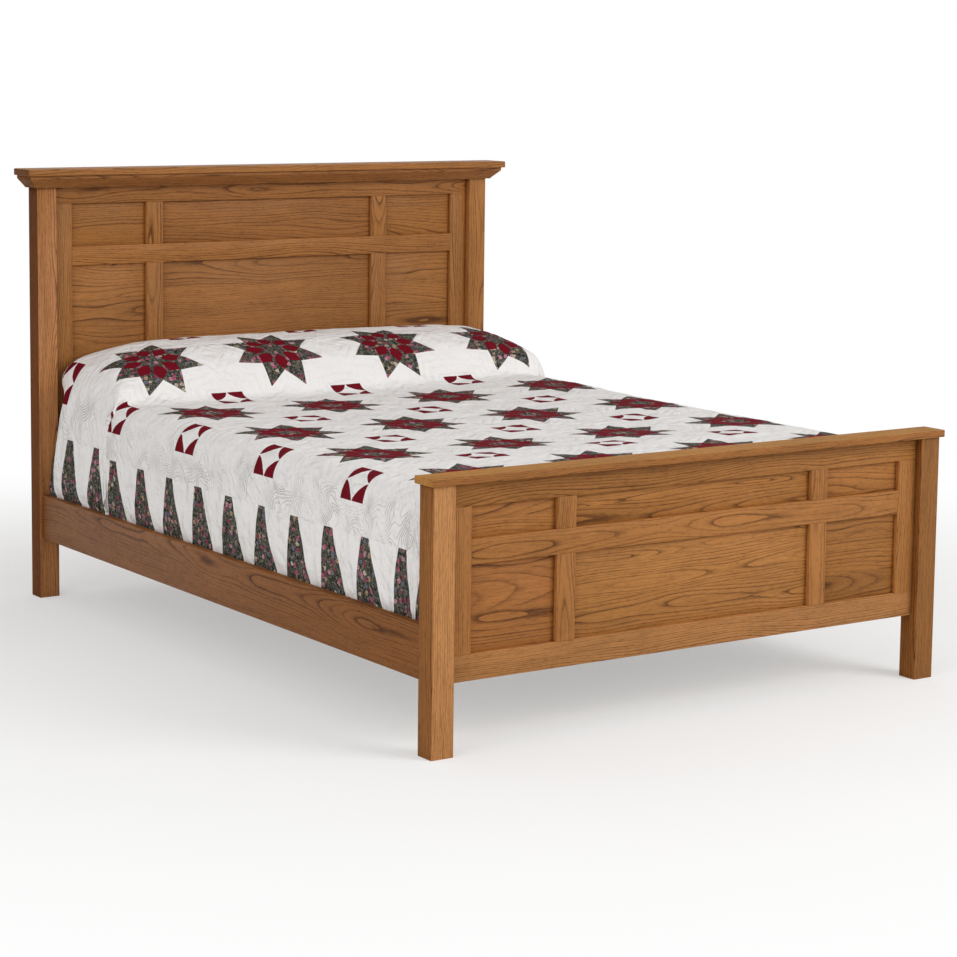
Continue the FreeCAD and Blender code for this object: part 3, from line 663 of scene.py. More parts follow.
@dataclass(frozen=True)
class PillowCotton:
    """Plain white cotton, washed soft and a little creased."""

    name: str = "pillow_cotton"

    def material(self) -> bpy.types.Material:
        """Makes the finish.

        Returns:
            The material.
        """
        material, b = new_finish(self.name)
        point = b.get("TexCoord", out="Object")
        x, y, z = point.split()
        woven = b.place(plain_weave(), Cloth=b.join(x + z, y), Threads=1300.0)
        crease_and_shade = point.stretch(14.0, 9.0, 14.0).noise(1.0, 4.0, 0.6)
        # The colour follows the crease relief: painted shade, darker in the hollows of the creases and lighter on their
        # ridges.
        principled(b, {"Base Color": b.mix(crease_and_shade, rgb(0.76, 0.755, 0.74), rgb(0.84, 0.835, 0.82)),
                       "Roughness": 0.9, "Sheen Weight": 0.2,
                       "Normal": b.bump(woven["Height"] * 0.1 + crease_and_shade, 0.004)})
        return material


@dataclass(frozen=True)
class Patchwork:
    """White cotton pieced with print stars and wedges and crimson kites and corners, then quilted."""

    name: str = "patchwork_quilt"
    white: Colour = rgb(0.84, 0.825, 0.815)
    faded: Colour = rgb(0.79, 0.765, 0.755)
    crimson: Colour = rgb(0.137, 0.003, 0.010)
    bright_crimson: Colour = rgb(0.21, 0.007, 0.018)

    def material(self) -> bpy.types.Material:
        """Makes the finish, laid out on the quilt's own cloth map.

        Returns:
            The material.
        """
        material, b = new_finish(self.name)
        cloth = b.get("UVMap", uv_map="cloth")
        stars, squares, wedges, printed, relief = (
            b.place(effect(), Cloth=cloth)
            for effect in (star_blocks, square_blocks, wedge_border, calico_print, quilted_relief))
        woven = b.place(plain_weave(), Cloth=cloth, Threads=1000.0)
        red = b.mix(cloth.noise(420.0), self.crimson, b.mix(0.35, self.crimson, self.bright_crimson))
        white = b.mix(cloth.noise(5.0, 3.0), self.white, b.mix(0.5, self.white, self.faded))
        colour = b.mix(b.most(stars["Print"], wedges["Print"]), white, printed["Colour"])
        colour = b.mix(b.most(stars["Crimson"], squares["Crimson"]), colour, red)
        principled(b, {"Base Color": b.shaded(colour, woven["Shade"]), "Roughness": 0.9,
                       "Specular IOR Level": 0.08,
                       "Normal": b.bump(relief["Height"], 0.0065, Normal=b.bump(woven["Height"], 0.0002))})
        return material


# --------------------------------------------------------------------- pieces


def link(name: str, mesh: bpy.types.Mesh, material: bpy.types.Material, slot: str,
         *nodes: str) -> bpy.types.Object:
    """Brings a finished mesh into the scene on the bed's one body.

    Args:
        name: the piece's name.
        mesh: its mesh, in place.
        material: its finish.
        slot: the record's slot that the finish comes from, which is not used.
        nodes: the CAD nodes that it stands for.

    Returns:
        The new object.
    """
    mesh.materials.clear()
    mesh.materials.append(material)
    piece = bpy.data.objects.new(name, mesh)
    bpy.context.scene.collection.objects.link(piece)
    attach(piece, "root")
    if nodes:
        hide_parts(*nodes)
    LOG.info("%s: %d faces", name, len(mesh.polygons))
    return piece


def mesh_of(bm: bmesh.types.BMesh, name: str, smooth: bool = True) -> bpy.types.Mesh:
    """Ends a bmesh in a mesh.

    Args:
        bm: the bmesh, which is freed.
        name: the mesh's name.
        smooth: whether its faces are smooth.

    Returns:
        The mesh.
    """
    for face in bm.faces:
        face.smooth = smooth
    mesh = bpy.data.meshes.new(name)
    bm.to_mesh(mesh)
    bm.free()
    return mesh


PLAIN: Tint = (1.0, 1.0, 1.0)
# Lightens the marked side faces of most boards: partly rubbed stain on the eased arrises, partly a painted highlight
# where light catches the sides.
EDGE_WEAR_AND_HIGHLIGHT: Tint = (1.45, 1.42, 1.42)

# How light each board's face is beside its neighbours and, where it differs, its edges beside its face: partly each
# board's own tone, partly painted light and shade, such as a painted highlight on the footboard cap's top and painted
# shade on the left posts' sides, the left side rail's outward face and the headboard's left ends.
BOARD_TINTS_AND_PAINTED_LIGHT: dict[str, tuple[Tint, ...]] = {
    "footboard_bottom_rail": ((1.06, 1.14, 1.36),),
    # Painted highlight: the cap's top and ends are painted lighter than its front.
    "footboard_cap": ((0.88, 0.84, 0.79), (1.44, 1.68, 1.63)),
    # Painted shade: the post's side faces are painted darker than its front.
    "footboard_left_post": ((1.29, 1.43, 1.82), (0.63, 0.55, 0.43)),
    "footboard_lower_centre_panel": ((1.15, 1.22, 1.28),),
    "footboard_lower_left_panel": ((1.04, 1.0, 1.05),),
    "footboard_lower_right_panel": ((0.92, 0.93, 0.9),),
    "footboard_right_post": ((0.755, 0.75, 0.69), (1.13, 1.04, 0.96)),
    "footboard_top_rail": ((0.92, 0.92, 0.86),),
    "footboard_upper_centre_panel": ((1.07, 1.09, 1.05),),
    # Painted shade: the cap's ends are painted darker.
    "headboard_cap": (PLAIN, (0.45, 0.38, 0.3)),
    "headboard_crown_front": ((0.91, 0.89, 1.0), PLAIN),
    # Painted shade: the left return's outward face is painted darker.
    "headboard_crown_left_return": (PLAIN, (0.52, 0.45, 0.36)),
    "headboard_crown_right_return": (PLAIN, PLAIN),
    # Painted shade: the post's side faces are painted much darker than its front.
    "headboard_left_post": ((1.26, 1.3, 1.72), (0.35, 0.24, 0.09)),
    "headboard_lower_centre_panel": ((0.94, 0.94, 0.97),),
    "headboard_middle_rail": ((1.07, 1.06, 1.1),),
    "headboard_top_rail": ((0.95, 0.94, 1.0),),
    "headboard_upper_centre_panel": ((0.88, 0.87, 0.96),),
    # Painted shade: the rail's outward face is painted darker than its top.
    "left_side_rail": ((0.68, 0.62, 0.6), (1.15, 1.15, 1.15)),
    "right_side_rail": ((0.8, 0.8, 0.78),),
}


def middle_of(node: str) -> Vector:
    """The middle of a CAD node's box."""
    return sum((Vector(corner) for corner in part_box(node)), Vector()) / 2


def round_off(bm: bmesh.types.BMesh, geometry: list[Any], reach: float, segments: int, affect: str = "EDGES",
              clamped: bool = False) -> None:
    """Rounds off edges, or the corners of a flat face.

    Args:
        bm: the bmesh.
        geometry: its edges or corners.
        reach: how far back the rounding starts, in metres.
        segments: how many faces make the round.
        affect: EDGES or VERTICES.
        clamped: whether roundings stop where they would meet.
    """
    bmesh.ops.bevel(bm, geom=geometry, offset=reach, offset_type="OFFSET", affect=affect, segments=segments,
                    profile=0.5, material=-1, clamp_overlap=clamped)


@dataclass
class Joinery:
    """The oak boards: every CAD board with its sharp edges eased as sanding leaves them."""

    easing: float = 0.0014
    sharp: float = math.radians(28.0)
    merge: float = 0.00002
    sliver: float = 0.00003
    strip: float = 0.094
    wide_cut: float = 0.065
    near_cut: float = 0.022
    edge_limit: float = 0.75

    def eased(self, node: str) -> bpy.types.Mesh:
        """Copies a CAD node, merges its loose triangles and eases its edges.

        Args:
            node: the CAD node's name.

        Returns:
            The eased mesh, which marks its edge faces for the finish's painted light and shade.
        """
        bm = bmesh.new()
        bm.from_mesh(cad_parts[node].data)
        bmesh.ops.remove_doubles(bm, verts=bm.verts, dist=self.merge)
        bmesh.ops.dissolve_limit(bm, angle_limit=math.radians(1.0), verts=bm.verts, edges=bm.edges)
        edges = [e for e in bm.edges if len(e.link_faces) == 2 and e.calc_face_angle(0.0) > self.sharp
                 and e.calc_length() > 4 * self.easing]
        round_off(bm, edges, self.easing, 2, clamped=True)
        bmesh.ops.dissolve_degenerate(bm, dist=self.sliver, edges=bm.edges)
        bmesh.ops.triangulate(bm, faces=[f for f in bm.faces if len(f.verts) > 4])
        mesh = mesh_of(bm, node + "_board")
        mesh.set_sharp_from_angle(angle=math.radians(40.0))
        front = 0 if node.endswith("side_rail") else 1
        # On the headboard cap only the ends are marked, for their painted shade.
        ends_only = node == "headboard_cap"
        edge_face = mesh.attributes.new("edge_face", "FLOAT", "FACE")
        for face in mesh.polygons:
            at_end = abs(face.normal.x) > self.edge_limit
            on_side = abs(face.normal[front]) < self.edge_limit
            edge_face.data[face.index].value = float(at_end if ends_only else on_side)
        return mesh

    def grain_of(self, node: str) -> Grain:
        """How a board's grain lies, from what the board is.

        Args:
            node: the CAD node's name.

        Returns:
            The grain.
        """
        if node.startswith("slat_"):
            return Grain.ACROSS_FLAT
        if node.endswith(("side_rail", "ledger")):
            return Grain.ALONG
        if node.endswith("_return"):
            return Grain.ALONG_FLAT
        if node.endswith("cap"):
            return Grain.ACROSS_FLAT
        upright = ("post", "stile", "muntin", "legs")
        return Grain.UPRIGHT if node.endswith(upright) else Grain.ACROSS

    def dress(self, node: str) -> None:
        """Puts an eased, finished board in the place of its CAD node.

        Args:
            node: the CAD node's name.
        """
        panel = node.endswith("panel")
        wood = OAK_PANEL if panel else OAK
        # The board's face and edge tints, which hold painted light and shade on some boards.
        face, edge = (*BOARD_TINTS_AND_PAINTED_LIGHT.get(node, (PLAIN,)), EDGE_WEAR_AND_HIGHLIGHT)[:2]
        reach = self.wide_cut if node.endswith(("post", "cap", "side_rail")) else self.near_cut
        material = wood.material(node, self.grain_of(node), middle_of(node), reach, self.strip if panel else 0.0,
                                 face, edge)
        link(node + "_board", self.eased(node), material, "oak_panel" if panel else "oak", node)

    def build(self) -> None:
        """Dresses every oak board."""
        for node in sorted(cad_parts):
            if node.startswith(("headboard", "footboard")) or node.endswith("side_rail"):
                self.dress(node)


@dataclass
class SlatBase:
    """The softwood base and the steel hardware that holds it and the rails."""

    easing: float = 0.0012
    cut: float = 0.03

    def build(self) -> None:
        """Dresses slats, ledgers, legs, dowels, plates and screws."""
        joinery = Joinery(easing=self.easing)
        for node in sorted(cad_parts):
            slat = node.startswith("slat_") and "screws" not in node
            if not slat and not node.endswith(("ledger", "legs")):
                continue
            material = SOFTWOOD.material(node, joinery.grain_of(node), middle_of(node), self.cut)
            link(node + "_timber", joinery.eased(node), material, "base_softwood", node)
        self.paint("cap_dowels", DOWEL.material("cap_dowels", Grain.UPRIGHT, Vector()))
        steel = ZincSteel().material()
        for node in ("plate_screws", "post_slot_plates", "rail_hook_plates", "slat_base_screws"):
            self.paint(node, steel)

    def paint(self, node: str, material: bpy.types.Material) -> None:
        """Gives a CAD node that keeps its own mesh a better finish.

        Args:
            node: the CAD node's name.
            material: the finish.
        """
        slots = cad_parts[node].data.materials
        slots.clear()
        slots.append(material)
        LOG.info("%s: finished", node)


@dataclass
class Slab:
    """A rounded, upholstered slab: the mattress or the box spring."""

    node: str
    finish: Ticking
    corner: float
    top_edge: float
    bottom_edge: float
    cell: float
    tuft: float = 0.0
    inset: float = 0.002
    sag: float = 0.0
    tape_radius: float = 0.0022
    tape_lift: float = 0.002

    def build(self) -> None:
        """Builds the slab, its tufted faces and its taped edges."""
        low, high = (Vector(c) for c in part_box(self.node))
        low += Vector((1, 1, 0)) * self.inset
        high -= Vector((1, 1, 1)) * self.inset
        bm = bmesh.new()
        bmesh.ops.create_cube(bm, size=1.0)
        bmesh.ops.scale(bm, vec=high - low, verts=bm.verts)
        bmesh.ops.translate(bm, vec=(low + high) / 2, verts=bm.verts)
        upright = [e for e in bm.edges if abs(e.verts[0].co.z - e.verts[1].co.z) > 0.01]
        round_off(bm, upright, self.corner, 8)
        for level, reach in ((high.z, self.top_edge), (low.z, self.bottom_edge)):
            rim = [e for e in bm.edges if all(abs(v.co.z - level) < 1e-5 for v in e.verts)]
            round_off(bm, rim, reach, 5)
        for axis, normal in enumerate((Vector((1, 0, 0)), Vector((0, 1, 0)))):
            count = round((high[axis] - low[axis]) / self.cell)
            for step in range(1, count):
                place = low[axis] + (high[axis] - low[axis]) * step / count
                bmesh.ops.bisect_plane(bm, geom=bm.verts[:] + bm.edges[:] + bm.faces[:], plane_no=normal,
                                       plane_co=normal * place)
        self.tufted(bm, high)
        material = self.finish.material()
        slab = link(self.node + "_body", mesh_of(bm, self.node), material, self.finish.name, self.node)
        self.tape(low, high, high.z - (self.top_edge - self.tape_lift), "top", material)
        self.tape(low, high, low.z + (self.bottom_edge - self.tape_lift), "bottom", material)

    def tufted(self, bm: bmesh.types.BMesh, high: Vector) -> None:
        """Draws the top face down along its quilted lines, and further in the middle, where it gives.

        Args:
            bm: the slab's bmesh.
            high: its highest corner.
        """
        for vert in bm.verts:
            if vert.co.z > high.z - 0.001:
                wave = math.sin(vert.co.x * math.pi / self.cell) * math.sin(vert.co.y * math.pi / self.cell)
                middle = max(0.0, 1 - (vert.co.x / high.x) ** 2)
                vert.co.z -= self.tuft * (0.5 - 0.5 * wave) + self.sag * middle

    def tape(self, low: Vector, high: Vector, z: float, name: str, material: bpy.types.Material) -> None:
        """Runs a taped cord round one edge of the slab.

        Args:
            low: the slab's lowest corner.
            high: its highest corner.
            z: the tape's height.
            name: which edge it is.
            material: the tape's finish.
        """
        bm = bmesh.new()
        bmesh.ops.create_grid(bm, x_segments=1, y_segments=1, size=0.5)
        bmesh.ops.scale(bm, vec=(high.x - low.x, high.y - low.y, 1.0), verts=bm.verts)
        bmesh.ops.translate(bm, vec=((low.x + high.x) / 2, (low.y + high.y) / 2, z), verts=bm.verts)
        round_off(bm, bm.verts[:], self.corner, 8, affect="VERTICES")
        loop = [v.co.copy() for v in max(bm.faces, key=lambda f: f.calc_area()).verts]
        bm.free()
        data = bpy.data.curves.new(self.node + "_line", "CURVE")
        data.dimensions, data.bevel_depth, data.bevel_resolution = "3D", self.tape_radius, 2
        spline = data.splines.new("POLY")
        spline.points.add(len(loop) - 1)
        spline.use_cyclic_u = True
        for point, place in zip(spline.points, loop):
            point.co = (*place, 1.0)
        line = bpy.data.objects.new(self.node + "_line", data)
        bpy.context.scene.collection.objects.link(line)
        tube = bpy.data.meshes.new_from_object(line.evaluated_get(bpy.context.evaluated_depsgraph_get()))
        bpy.data.objects.remove(line)
        link(f"{self.node}_{name}_tape", tube, material, self.finish.name)


@dataclass
class Pillow:
    """A filled pillow: a crowned closed form whose sides pull in between its corners."""

    node: str
    crown: float = 0.42
    pull: float = 0.022
    seam: float = 0.027
    fullness: float = 0.106
    creasing: float = 0.012
    lip: float = 0.02

    def build(self) -> None:
        """Builds the pillow in its CAD solid's place."""
        low, high = (Vector(c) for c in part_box(self.node))
        centre, half = (low + high) / 2, (high - low) / 2
        bm = bmesh.new()
        bmesh.ops.create_cube(bm, size=2.0)
        bmesh.ops.subdivide_edges(bm, edges=bm.edges[:], cuts=22, use_grid_fill=True)
        draw = random.Random(self.node)
        waves = [(draw.uniform(3, 8), draw.uniform(3, 8), draw.uniform(0, 6.3)) for _ in range(5)]
        for vert in bm.verts:
            u, v, w = vert.co
            run = abs(v) ** (1.3 if w > 0 and v < 0 else 2.4)
            crowned = max(0.0, (1 - abs(u) ** 2.8) ** self.crown * (1 - run) ** (1.0 if w > 0 else 0.3))
            soft = sum(math.sin(a * u + b * v + c) for a, b, c in waves) * self.creasing
            x = u * (1 - self.pull * 2 * (1 - v * v) * abs(u))
            y = v * (1 - self.pull * 3 * (1 - u * u) * abs(v))
            z = w * (crowned * (0.97 + soft * min(1.0, 4 * crowned)) + self.lip * (1 - crowned))
            z *= self.fullness if w > 0 else self.seam
            vert.co = Vector((centre.x + x * half.x, centre.y + y * half.y, low.z + self.seam + z))
        bmesh.ops.smooth_vert(bm, verts=bm.verts, factor=0.4, use_axis_x=True, use_axis_y=True, use_axis_z=True)
        finish = PillowCotton()
        piece = link(self.node + "_form", mesh_of(bm, self.node), finish.material(), finish.name, self.node)


class Track:
    """A smooth line through a plane, read by its own length."""

    def __init__(self, points: list[tuple[float, float]], rounds: int = 3) -> None:
        """Smooths a run of points by cutting its corners.

        Args:
            points: the corners, in order.
            rounds: how often they are cut.
        """
        line = np.array(points, float)
        for _ in range(rounds):
            first = line[:-1] * 0.75 + line[1:] * 0.25
            second = line[:-1] * 0.25 + line[1:] * 0.75
            line = np.vstack([line[:1], np.stack([first, second], 1).reshape(-1, 2), line[-1:]])
        self.line = line
        self.marks = np.concatenate([[0.0], np.cumsum(np.linalg.norm(np.diff(line, axis=0), axis=1))])
        self.length = float(self.marks[-1])

    def at(self, lengths: np.ndarray) -> tuple[np.ndarray, np.ndarray]:
        """The line's two coordinates at each length along it."""
        return np.interp(lengths, self.marks, self.line[:, 0]), np.interp(lengths, self.marks, self.line[:, 1])


def eased_share(values: np.ndarray, low: float, high: float) -> np.ndarray:
    """A smooth step from 0 at low to 1 at high."""
    share = np.clip((values - low) / (high - low), 0.0, 1.0)
    return share * share * (3 - 2 * share)


def ripple(s: np.ndarray, t: np.ndarray, longest: float, seed: int) -> np.ndarray:
    """Soft seeded unevenness over the cloth, about -1 to 1.

    Args:
        s: places across the cloth.
        t: places along it.
        longest: the longest wave, in metres.
        seed: which ripple it is.

    Returns:
        The ripple at each place.
    """
    draw = np.random.default_rng(seed)
    total = np.zeros_like(s)
    for _ in range(18):
        turn, phase = draw.uniform(0, math.tau, 2)
        wave = math.tau / (longest * draw.uniform(0.35, 1.0))
        total += np.sin(wave * (np.cos(turn) * s + np.sin(turn) * t) + phase)
    return total / 6.0


@dataclass
class Quilt:
    """The patchwork quilt, draped over the mattress and two pillows and tucked behind the rails."""

    half_width: float = 1.110
    foot_end: float = -1.373
    head_end: float = 1.253
    side_head_end: float = 1.105
    bend_from: float = 0.690
    foot_bend: float = -0.953
    turn_from: float = 0.60
    turn_to: float = 0.80
    dome: float = 0.72
    top: float = 0.632
    hump_rise: float = 0.134
    foot_rise: float = 0.011
    side_rise: float = 0.006
    sag: float = 0.009
    thickness: float = 0.009
    side_limit: float = 0.786
    tuck_limit: float = 0.7725
    tuck_top: float = 0.33
    columns: int = 190
    rows: int = 222

    def __post_init__(self) -> None:
        """Lays out the cross-sections, which end in one tuck, and the centre line over the hump."""
        tuck = [(.7705, .312), (.7705, .262), (.7705, .220)]
        self.flat = Track([(0, .632), (.40, .632), (.640, .632), (.700, .631), (.745, .620), (.772, .580), (.779, .530),
                           (.782, .460), (.781, .400), (.776, .345), *tuck])
        self.hump = Track([(0, .766), (.20, .767), (.43, .766), (.56, .757), (.640, .741), (.686, .726), (.714, .706),
                           (.731, .676), (.745, .636), (.758, .590), (.770, .540), (.783, .430), (.785, .345),
                           *tuck])
        self.full_hump = Track([(0, .766), (.20, .766), (.475, .762), (.60, .758), (.675, .752), (.724, .736),
                                (.756, .706), (.772, .655), (.778, .600), (.782, .545), (.786, .430), (.786, .345),
                                *tuck])
        self.crest = Track([(.50, .632), (.56, .632), (.600, .632), (.632, .634), (.653, .642), (.664, .656),
                            (.678, .680), (.693, .702), (.711, .724), (.738, .740), (.770, .754), (.820, .7705),
                            (.870, .777), (.925, .781), (.965, .778), (1.005, .769), (1.032, .755), (1.045, .724),
                            (1.048, .66)])

    def cloth_rows(self) -> np.ndarray:
        """Spaces the flat cloth's rows, closer together near the pillow crease.

        Returns:
            Their places along the cloth.
        """
        along = np.linspace(self.foot_end, self.head_end, 2000)
        crowd = 1.0 + 1.6 * np.exp(-((along - 0.69) / 0.06) ** 2)
        marks = np.concatenate([[0.0], np.cumsum((crowd[1:] + crowd[:-1]) / 2)])
        return np.interp(np.linspace(0, marks[-1], self.rows + 1), marks, along)

    def over_hump(self, hump: Track, arm: np.ndarray) -> tuple[np.ndarray, np.ndarray]:
        """Reads a hump's cross-section by places on the flat one, which is shorter.

        Args:
            hump: the hump's cross-section.
            arm: distances from the middle along the flat one.

        Returns:
            X and Z at each.
        """
        more = hump.length - self.flat.length
        longer = np.array([0, .71, .90, 1.2]) + more * np.array([0, 0, .7, 1])
        return hump.at(np.interp(arm, [0, .71, .90, 1.2], longer))

    def drape(self, s: np.ndarray, t: np.ndarray) -> tuple[np.ndarray, np.ndarray]:
        """Lays flat cloth onto the made bed.

        Args:
            s: places across the flat cloth, from its middle.
            t: places along it, equal to Y on the flat of the bed.

        Returns:
            The points in space, and the flat places that the corners were turned to.
        """
        side, arm = np.sign(s), np.abs(s)
        to_side = eased_share(arm, self.turn_from, self.turn_to)
        crest_y, crest_z = self.crest.at(np.interp(t, [0.5, 0.6, 0.689, 0.85, 1.0, 1.4],
                                                   [0.0, 0.1, 0.171, 0.332, 0.452, 0.852]))
        crest_y = np.where(t < 0.50, t, crest_y)
        crest_z = np.where(t < 0.50, self.top, crest_z)
        lift = (crest_z - self.top) / self.hump_rise
        flat_x, flat_z = self.flat.at(arm)
        over = [self.over_hump(hump, arm) for hump in (self.hump, self.full_hump)]
        hump_x, hump_z = (np.where(side > 0, full, plain) for plain, full in zip(*over))
        side_y = t - 0.049 * eased_share(t, 0.650, 0.715)
        lifted = np.clip(lift, 0, 1) * (1 - to_side)
        side_lift = lifted + to_side * eased_share(t, 0.655, 0.735)
        side_lift = np.where(t > 0.9, np.maximum(side_lift, lifted + to_side), side_lift)
        up = lift * (1 - to_side) + side_lift * to_side
        x = flat_x + (hump_x - flat_x) * np.clip(side_lift, 0, 1)
        dip = (self.sag * np.clip(1 - (arm / self.dome) ** 2, 0, 1) * (1 - eased_share(t, 0.58, 0.76))
               * eased_share(t, -0.72, -0.36))
        rise = (self.foot_rise * np.clip(1 - (arm / self.dome) ** 4, 0, 1) * eased_share(-t, 0.48, 0.76)
                * (1 - eased_share(-t, 0.88, 0.953)))
        rise = rise + (self.side_rise * eased_share(s, 0.20, 0.60) * eased_share(t, 0.10, 0.40)
                       * (1 - eased_share(t, 0.60, 0.70)))
        z = flat_z + (hump_z - flat_z) * up - dip + rise
        y = crest_y * (1 - to_side) + np.minimum(side_y, 1.049) * to_side
        hang, drop = np.maximum(arm - self.bend_from, 0), np.maximum(self.foot_bend - t, 0)
        reach = np.maximum(hang, drop)
        turn = np.where(hang > drop, (math.pi / 4) * drop / np.maximum(hang, 1e-6),
                        math.pi / 2 - (math.pi / 4) * hang / np.maximum(drop, 1e-6))
        fall_x, fall_z = self.flat.at(self.bend_from + reach)
        loose = eased_share(reach, 0.08, 0.34)
        ring = (fall_x - self.bend_from) * (1 - 0.06 * np.sin(turn) ** 2)
        fold = np.sin(2 * turn) ** 2 * (0.016 + 0.012 * np.sin(9 * turn + 0.6))
        ring = ring + loose * fold
        over_foot = drop > 0
        x = np.where(over_foot, np.minimum(arm, self.bend_from) + ring * np.cos(turn) * (hang > 0), x)
        y = np.where(over_foot, self.foot_bend - ring * np.sin(turn), y)
        z = np.where(over_foot, fall_z, z)
        drawn_in = np.interp(z, [.32, .355, .41, .50, .595, .67], [0, .012, .019, .031, .031, 0])
        x = x - drawn_in * eased_share(y, 0.985, 1.045) * (side < 0) * to_side
        corner = over_foot & (hang > 0)
        flat_s = np.where(corner, self.bend_from + reach * np.cos(turn), arm)
        flat_t = np.where(corner, self.foot_bend - reach * np.sin(turn), t)
        return np.stack([side * x, y, z], -1), np.stack([side * flat_s, flat_t], -1)

    def unevenness(self, s: np.ndarray, t: np.ndarray) -> np.ndarray:
        """How far the wadding and the hang push the cloth out or in.

        Args:
            s: places across the flat cloth.
            t: places along it.

        Returns:
            The push at each place, in metres.
        """
        arm = np.abs(s)
        hanging = eased_share(arm, 0.74, 0.90) + eased_share(-t, 1.0, 1.15)
        low = 1 - eased_share(arm, 0.98, 1.05)
        puff = ripple(s, t, 0.16, 3) * 0.0011 + ripple(s, t, 0.07, 5) * 0.0006
        folds = ripple(s * 0.25, t, 0.20, 7) * 0.0035
        pleat = 0.011 * np.exp(-((t - 0.688) / 0.016) ** 2) * eased_share(arm, 0.70, 0.84)
        gather = 0.002 * np.sin(t * 60) * eased_share(t, 0.74, 0.80) * (1 - eased_share(t, 0.98, 1.06)) * hanging
        return puff + np.clip(hanging, 0, 1) * low * (folds + gather) + pleat * low

    def build(self) -> None:
        """Builds the quilt as one sheet with its cloth map, and thickens it."""
        bm = bmesh.new()
        bmesh.ops.create_grid(bm, x_segments=self.columns, y_segments=self.rows, size=0.5)
        verts = list(bm.verts)
        grid = np.array([v.co[:2] for v in verts])
        rows = self.cloth_rows()
        s = np.interp(grid[:, 0], [-0.5, 0.5], [-1, 1]) * self.half_width
        t = np.interp(grid[:, 1], np.linspace(-0.5, 0.5, len(rows)), rows)
        late = eased_share(np.abs(s), self.turn_from, self.turn_to)
        end = self.head_end * (1 - late) + self.side_head_end * late
        t = np.where(t > 0.8, 0.8 + (t - 0.8) * (end - 0.8) / (self.head_end - 0.8), t)
        points, flat = self.drape(s, t)
        for vert, point in zip(verts, points):
            vert.co = point
        bm.normal_update()
        ups = 1.0 if sum(v.normal.z for v in verts) > 0 else -1.0
        for vert, amount in zip(verts, self.unevenness(s, t)):
            vert.co += vert.normal * float(amount) * ups
            limit = self.side_limit if vert.co.z > self.tuck_top else self.tuck_limit
            vert.co.x = max(-limit, min(limit, vert.co.x))
        uv = bm.loops.layers.uv.new("cloth")
        places = dict(zip(verts, flat))
        for face in bm.faces:
            for loop in face.loops:
                loop[uv].uv = places[loop.vert]
        if ups < 0:
            bmesh.ops.reverse_faces(bm, faces=bm.faces)
        quilt = link("quilt_cloth", mesh_of(bm, "quilt_cloth"), Patchwork().material(), "quilt_cotton", "quilt")
        wall = quilt.modifiers.new("wadding", "SOLIDIFY")
        wall.thickness, wall.offset = self.thickness, -1.0


def seen_share(b: Bench) -> Value:
    """A mask that is 1 for rays from the camera, reflections and clear pieces, and 0 for the light's own."""
    rays = b.put("LightPath").outputs
    return b.most(*(Value(b, rays[f"Is {kind} Ray"]) for kind in ("Camera", "Glossy", "Transmission")))


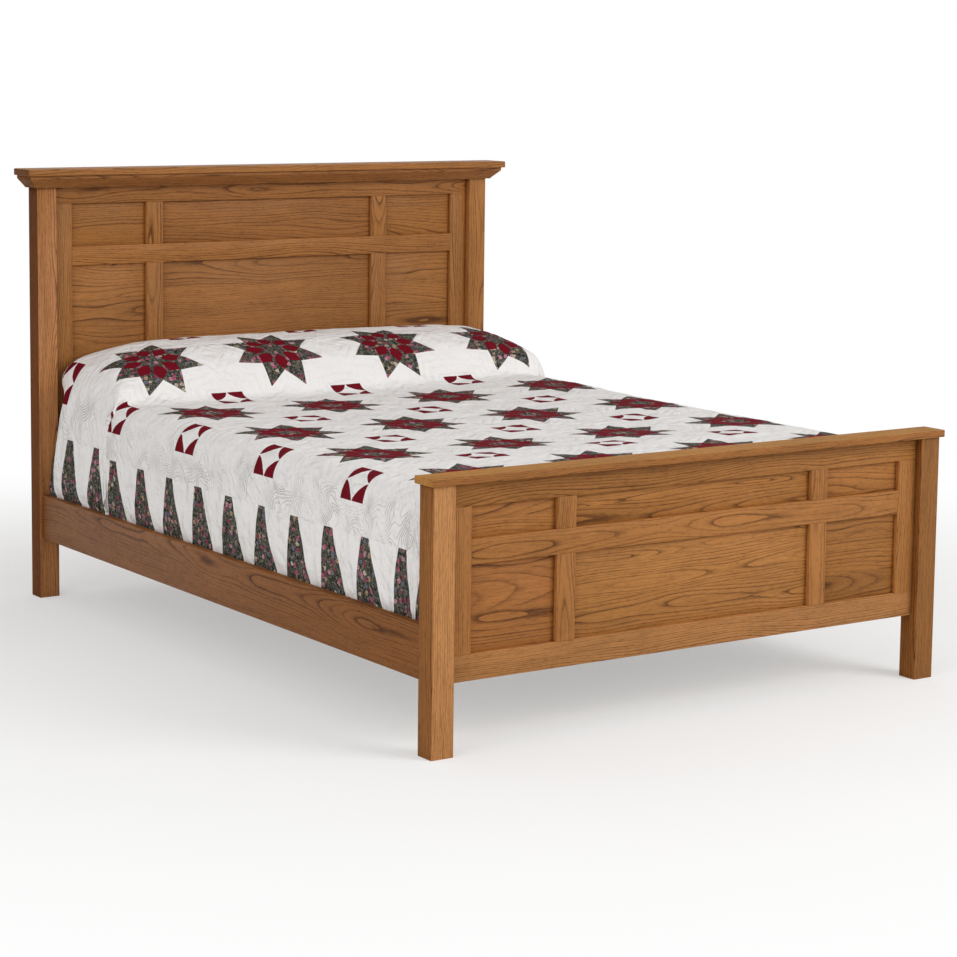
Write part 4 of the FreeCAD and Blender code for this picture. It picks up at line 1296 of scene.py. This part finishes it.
@dataclass
class Studio:
    """The camera at the photograph's angle, the lamps, the floor and the pale surround."""

    place: tuple[float, float, float] = (-4.13166, -6.16013, 1.67381)
    yaw: float = 0.59846
    pitch: float = 0.12724
    roll: float = 0.0123
    lens: float = 99.364
    shift: float = -0.1
    key_power: float = 250.0
    fill_power: float = 100.0
    sky: float = 0.575

    def camera(self) -> None:
        """Sets the camera."""
        data = bpy.data.cameras.new("camera")
        data.lens, data.sensor_width, data.shift_y = self.lens, 36.0, self.shift
        data.clip_end = 200.0
        sy, cy, sp, cp = math.sin(self.yaw), math.cos(self.yaw), math.sin(self.pitch), math.cos(self.pitch)
        right, ahead, up = Vector((cy, -sy, 0)), Vector((sy * cp, cy * cp, -sp)), Vector((sy * sp, cy * sp, cp))
        x = right * math.cos(self.roll) + up * math.sin(self.roll)
        y = up * math.cos(self.roll) - right * math.sin(self.roll)
        camera = bpy.data.objects.new("camera", data)
        bpy.context.scene.collection.objects.link(camera)
        camera.matrix_world = Matrix.Translation(self.place) @ Matrix((x, y, -ahead)).transposed().to_4x4()
        bpy.context.scene.camera = camera

    def lamp(self, name: str, place: tuple[float, float, float], size: float, power: float) -> None:
        """Hangs a soft lamp that faces the bed.

        Args:
            name: the lamp's name.
            place: where it hangs.
            size: its side, in metres.
            power: its power, in watts.
        """
        data = bpy.data.lights.new(name, "AREA")
        data.size, data.energy = size, power
        lamp = bpy.data.objects.new(name, data)
        bpy.context.scene.collection.objects.link(lamp)
        lamp.location = place
        lamp.rotation_mode = "QUATERNION"
        lamp.rotation_quaternion = (Vector((0.0, 0.0, 0.5)) - Vector(place)).to_track_quat("-Z", "Y")

    def surround(self) -> None:
        """Lights the room evenly, and shows white to the camera and in reflections."""
        world = bpy.data.worlds.new("surround")
        bpy.context.scene.world = world
        b = fresh_bench(world)
        even = b.get("Background", {0: rgb(1.0, 0.99, 0.975), 1: self.sky})
        white = b.get("Background", {0: grey(1.0), 1: 1.0})
        b.put("OutputWorld", {0: b.get("MixShader", {0: seen_share(b), 1: even, 2: white})})

    def floor(self) -> None:
        """Lays a pale floor that takes the bed's shadow and fades into the surround."""
        bm = bmesh.new()
        bmesh.ops.create_circle(bm, cap_ends=True, segments=64, radius=40.0)
        material, b = new_finish("pale_floor")
        point = b.get("TexCoord", out="Object")
        away = b.get("VectorMath", {0: point}, "Value", operation="LENGTH").span(1.3, 3.4)
        matt = b.get("BsdfDiffuse", {0: b.mix(point.noise(3.0), rgb(0.88, 0.88, 0.875), rgb(0.91, 0.91, 0.905))})
        glow = b.get("Emission", {0: grey(1.0)})
        bright = (away * 0.60 + 0.40) * seen_share(b)
        b.put("OutputMaterial", {0: b.get("MixShader", {0: bright, 1: matt, 2: glow})})
        mesh = mesh_of(bm, "floor", smooth=False)
        mesh.materials.append(material)
        floor = bpy.data.objects.new("floor", mesh)
        bpy.context.scene.collection.objects.link(floor)

    def build(self) -> None:
        """Sets up everything that isn't the bed."""
        bpy.context.scene.view_settings.view_transform = "Standard"
        self.camera()
        self.surround()
        self.floor()
        self.lamp("key", (3.0, -5.8, 3.7), 3.4, self.key_power)
        self.lamp("fill", (-5.5, -2.6, 3.0), 4.0, self.fill_power)


def main() -> None:
    """Builds the studio and the bed, from its boards to its quilt."""
    logging.basicConfig(level=logging.INFO, format="%(name)s %(message)s")
    Studio().build()
    Joinery().build()
    SlatBase().build()
    Slab("box_spring", Ticking("box_spring_ticking", rgb(0.62, 0.61, 0.58), rgb(0.30, 0.34, 0.40), 0.09),
         corner=0.03, top_edge=0.012, bottom_edge=0.012, cell=0.38).build()
    Slab("mattress", Ticking("mattress_ticking", rgb(0.74, 0.73, 0.70), rgb(0.42, 0.46, 0.52), 0.07),
         corner=0.084, top_edge=0.06, bottom_edge=0.02, cell=0.127, tuft=0.006, inset=0.004, sag=0.009).build()
    Pillow("left_pillow").build()
    Pillow("right_pillow").build()
    Quilt().build()


if __name__ == "__main__":
    main()
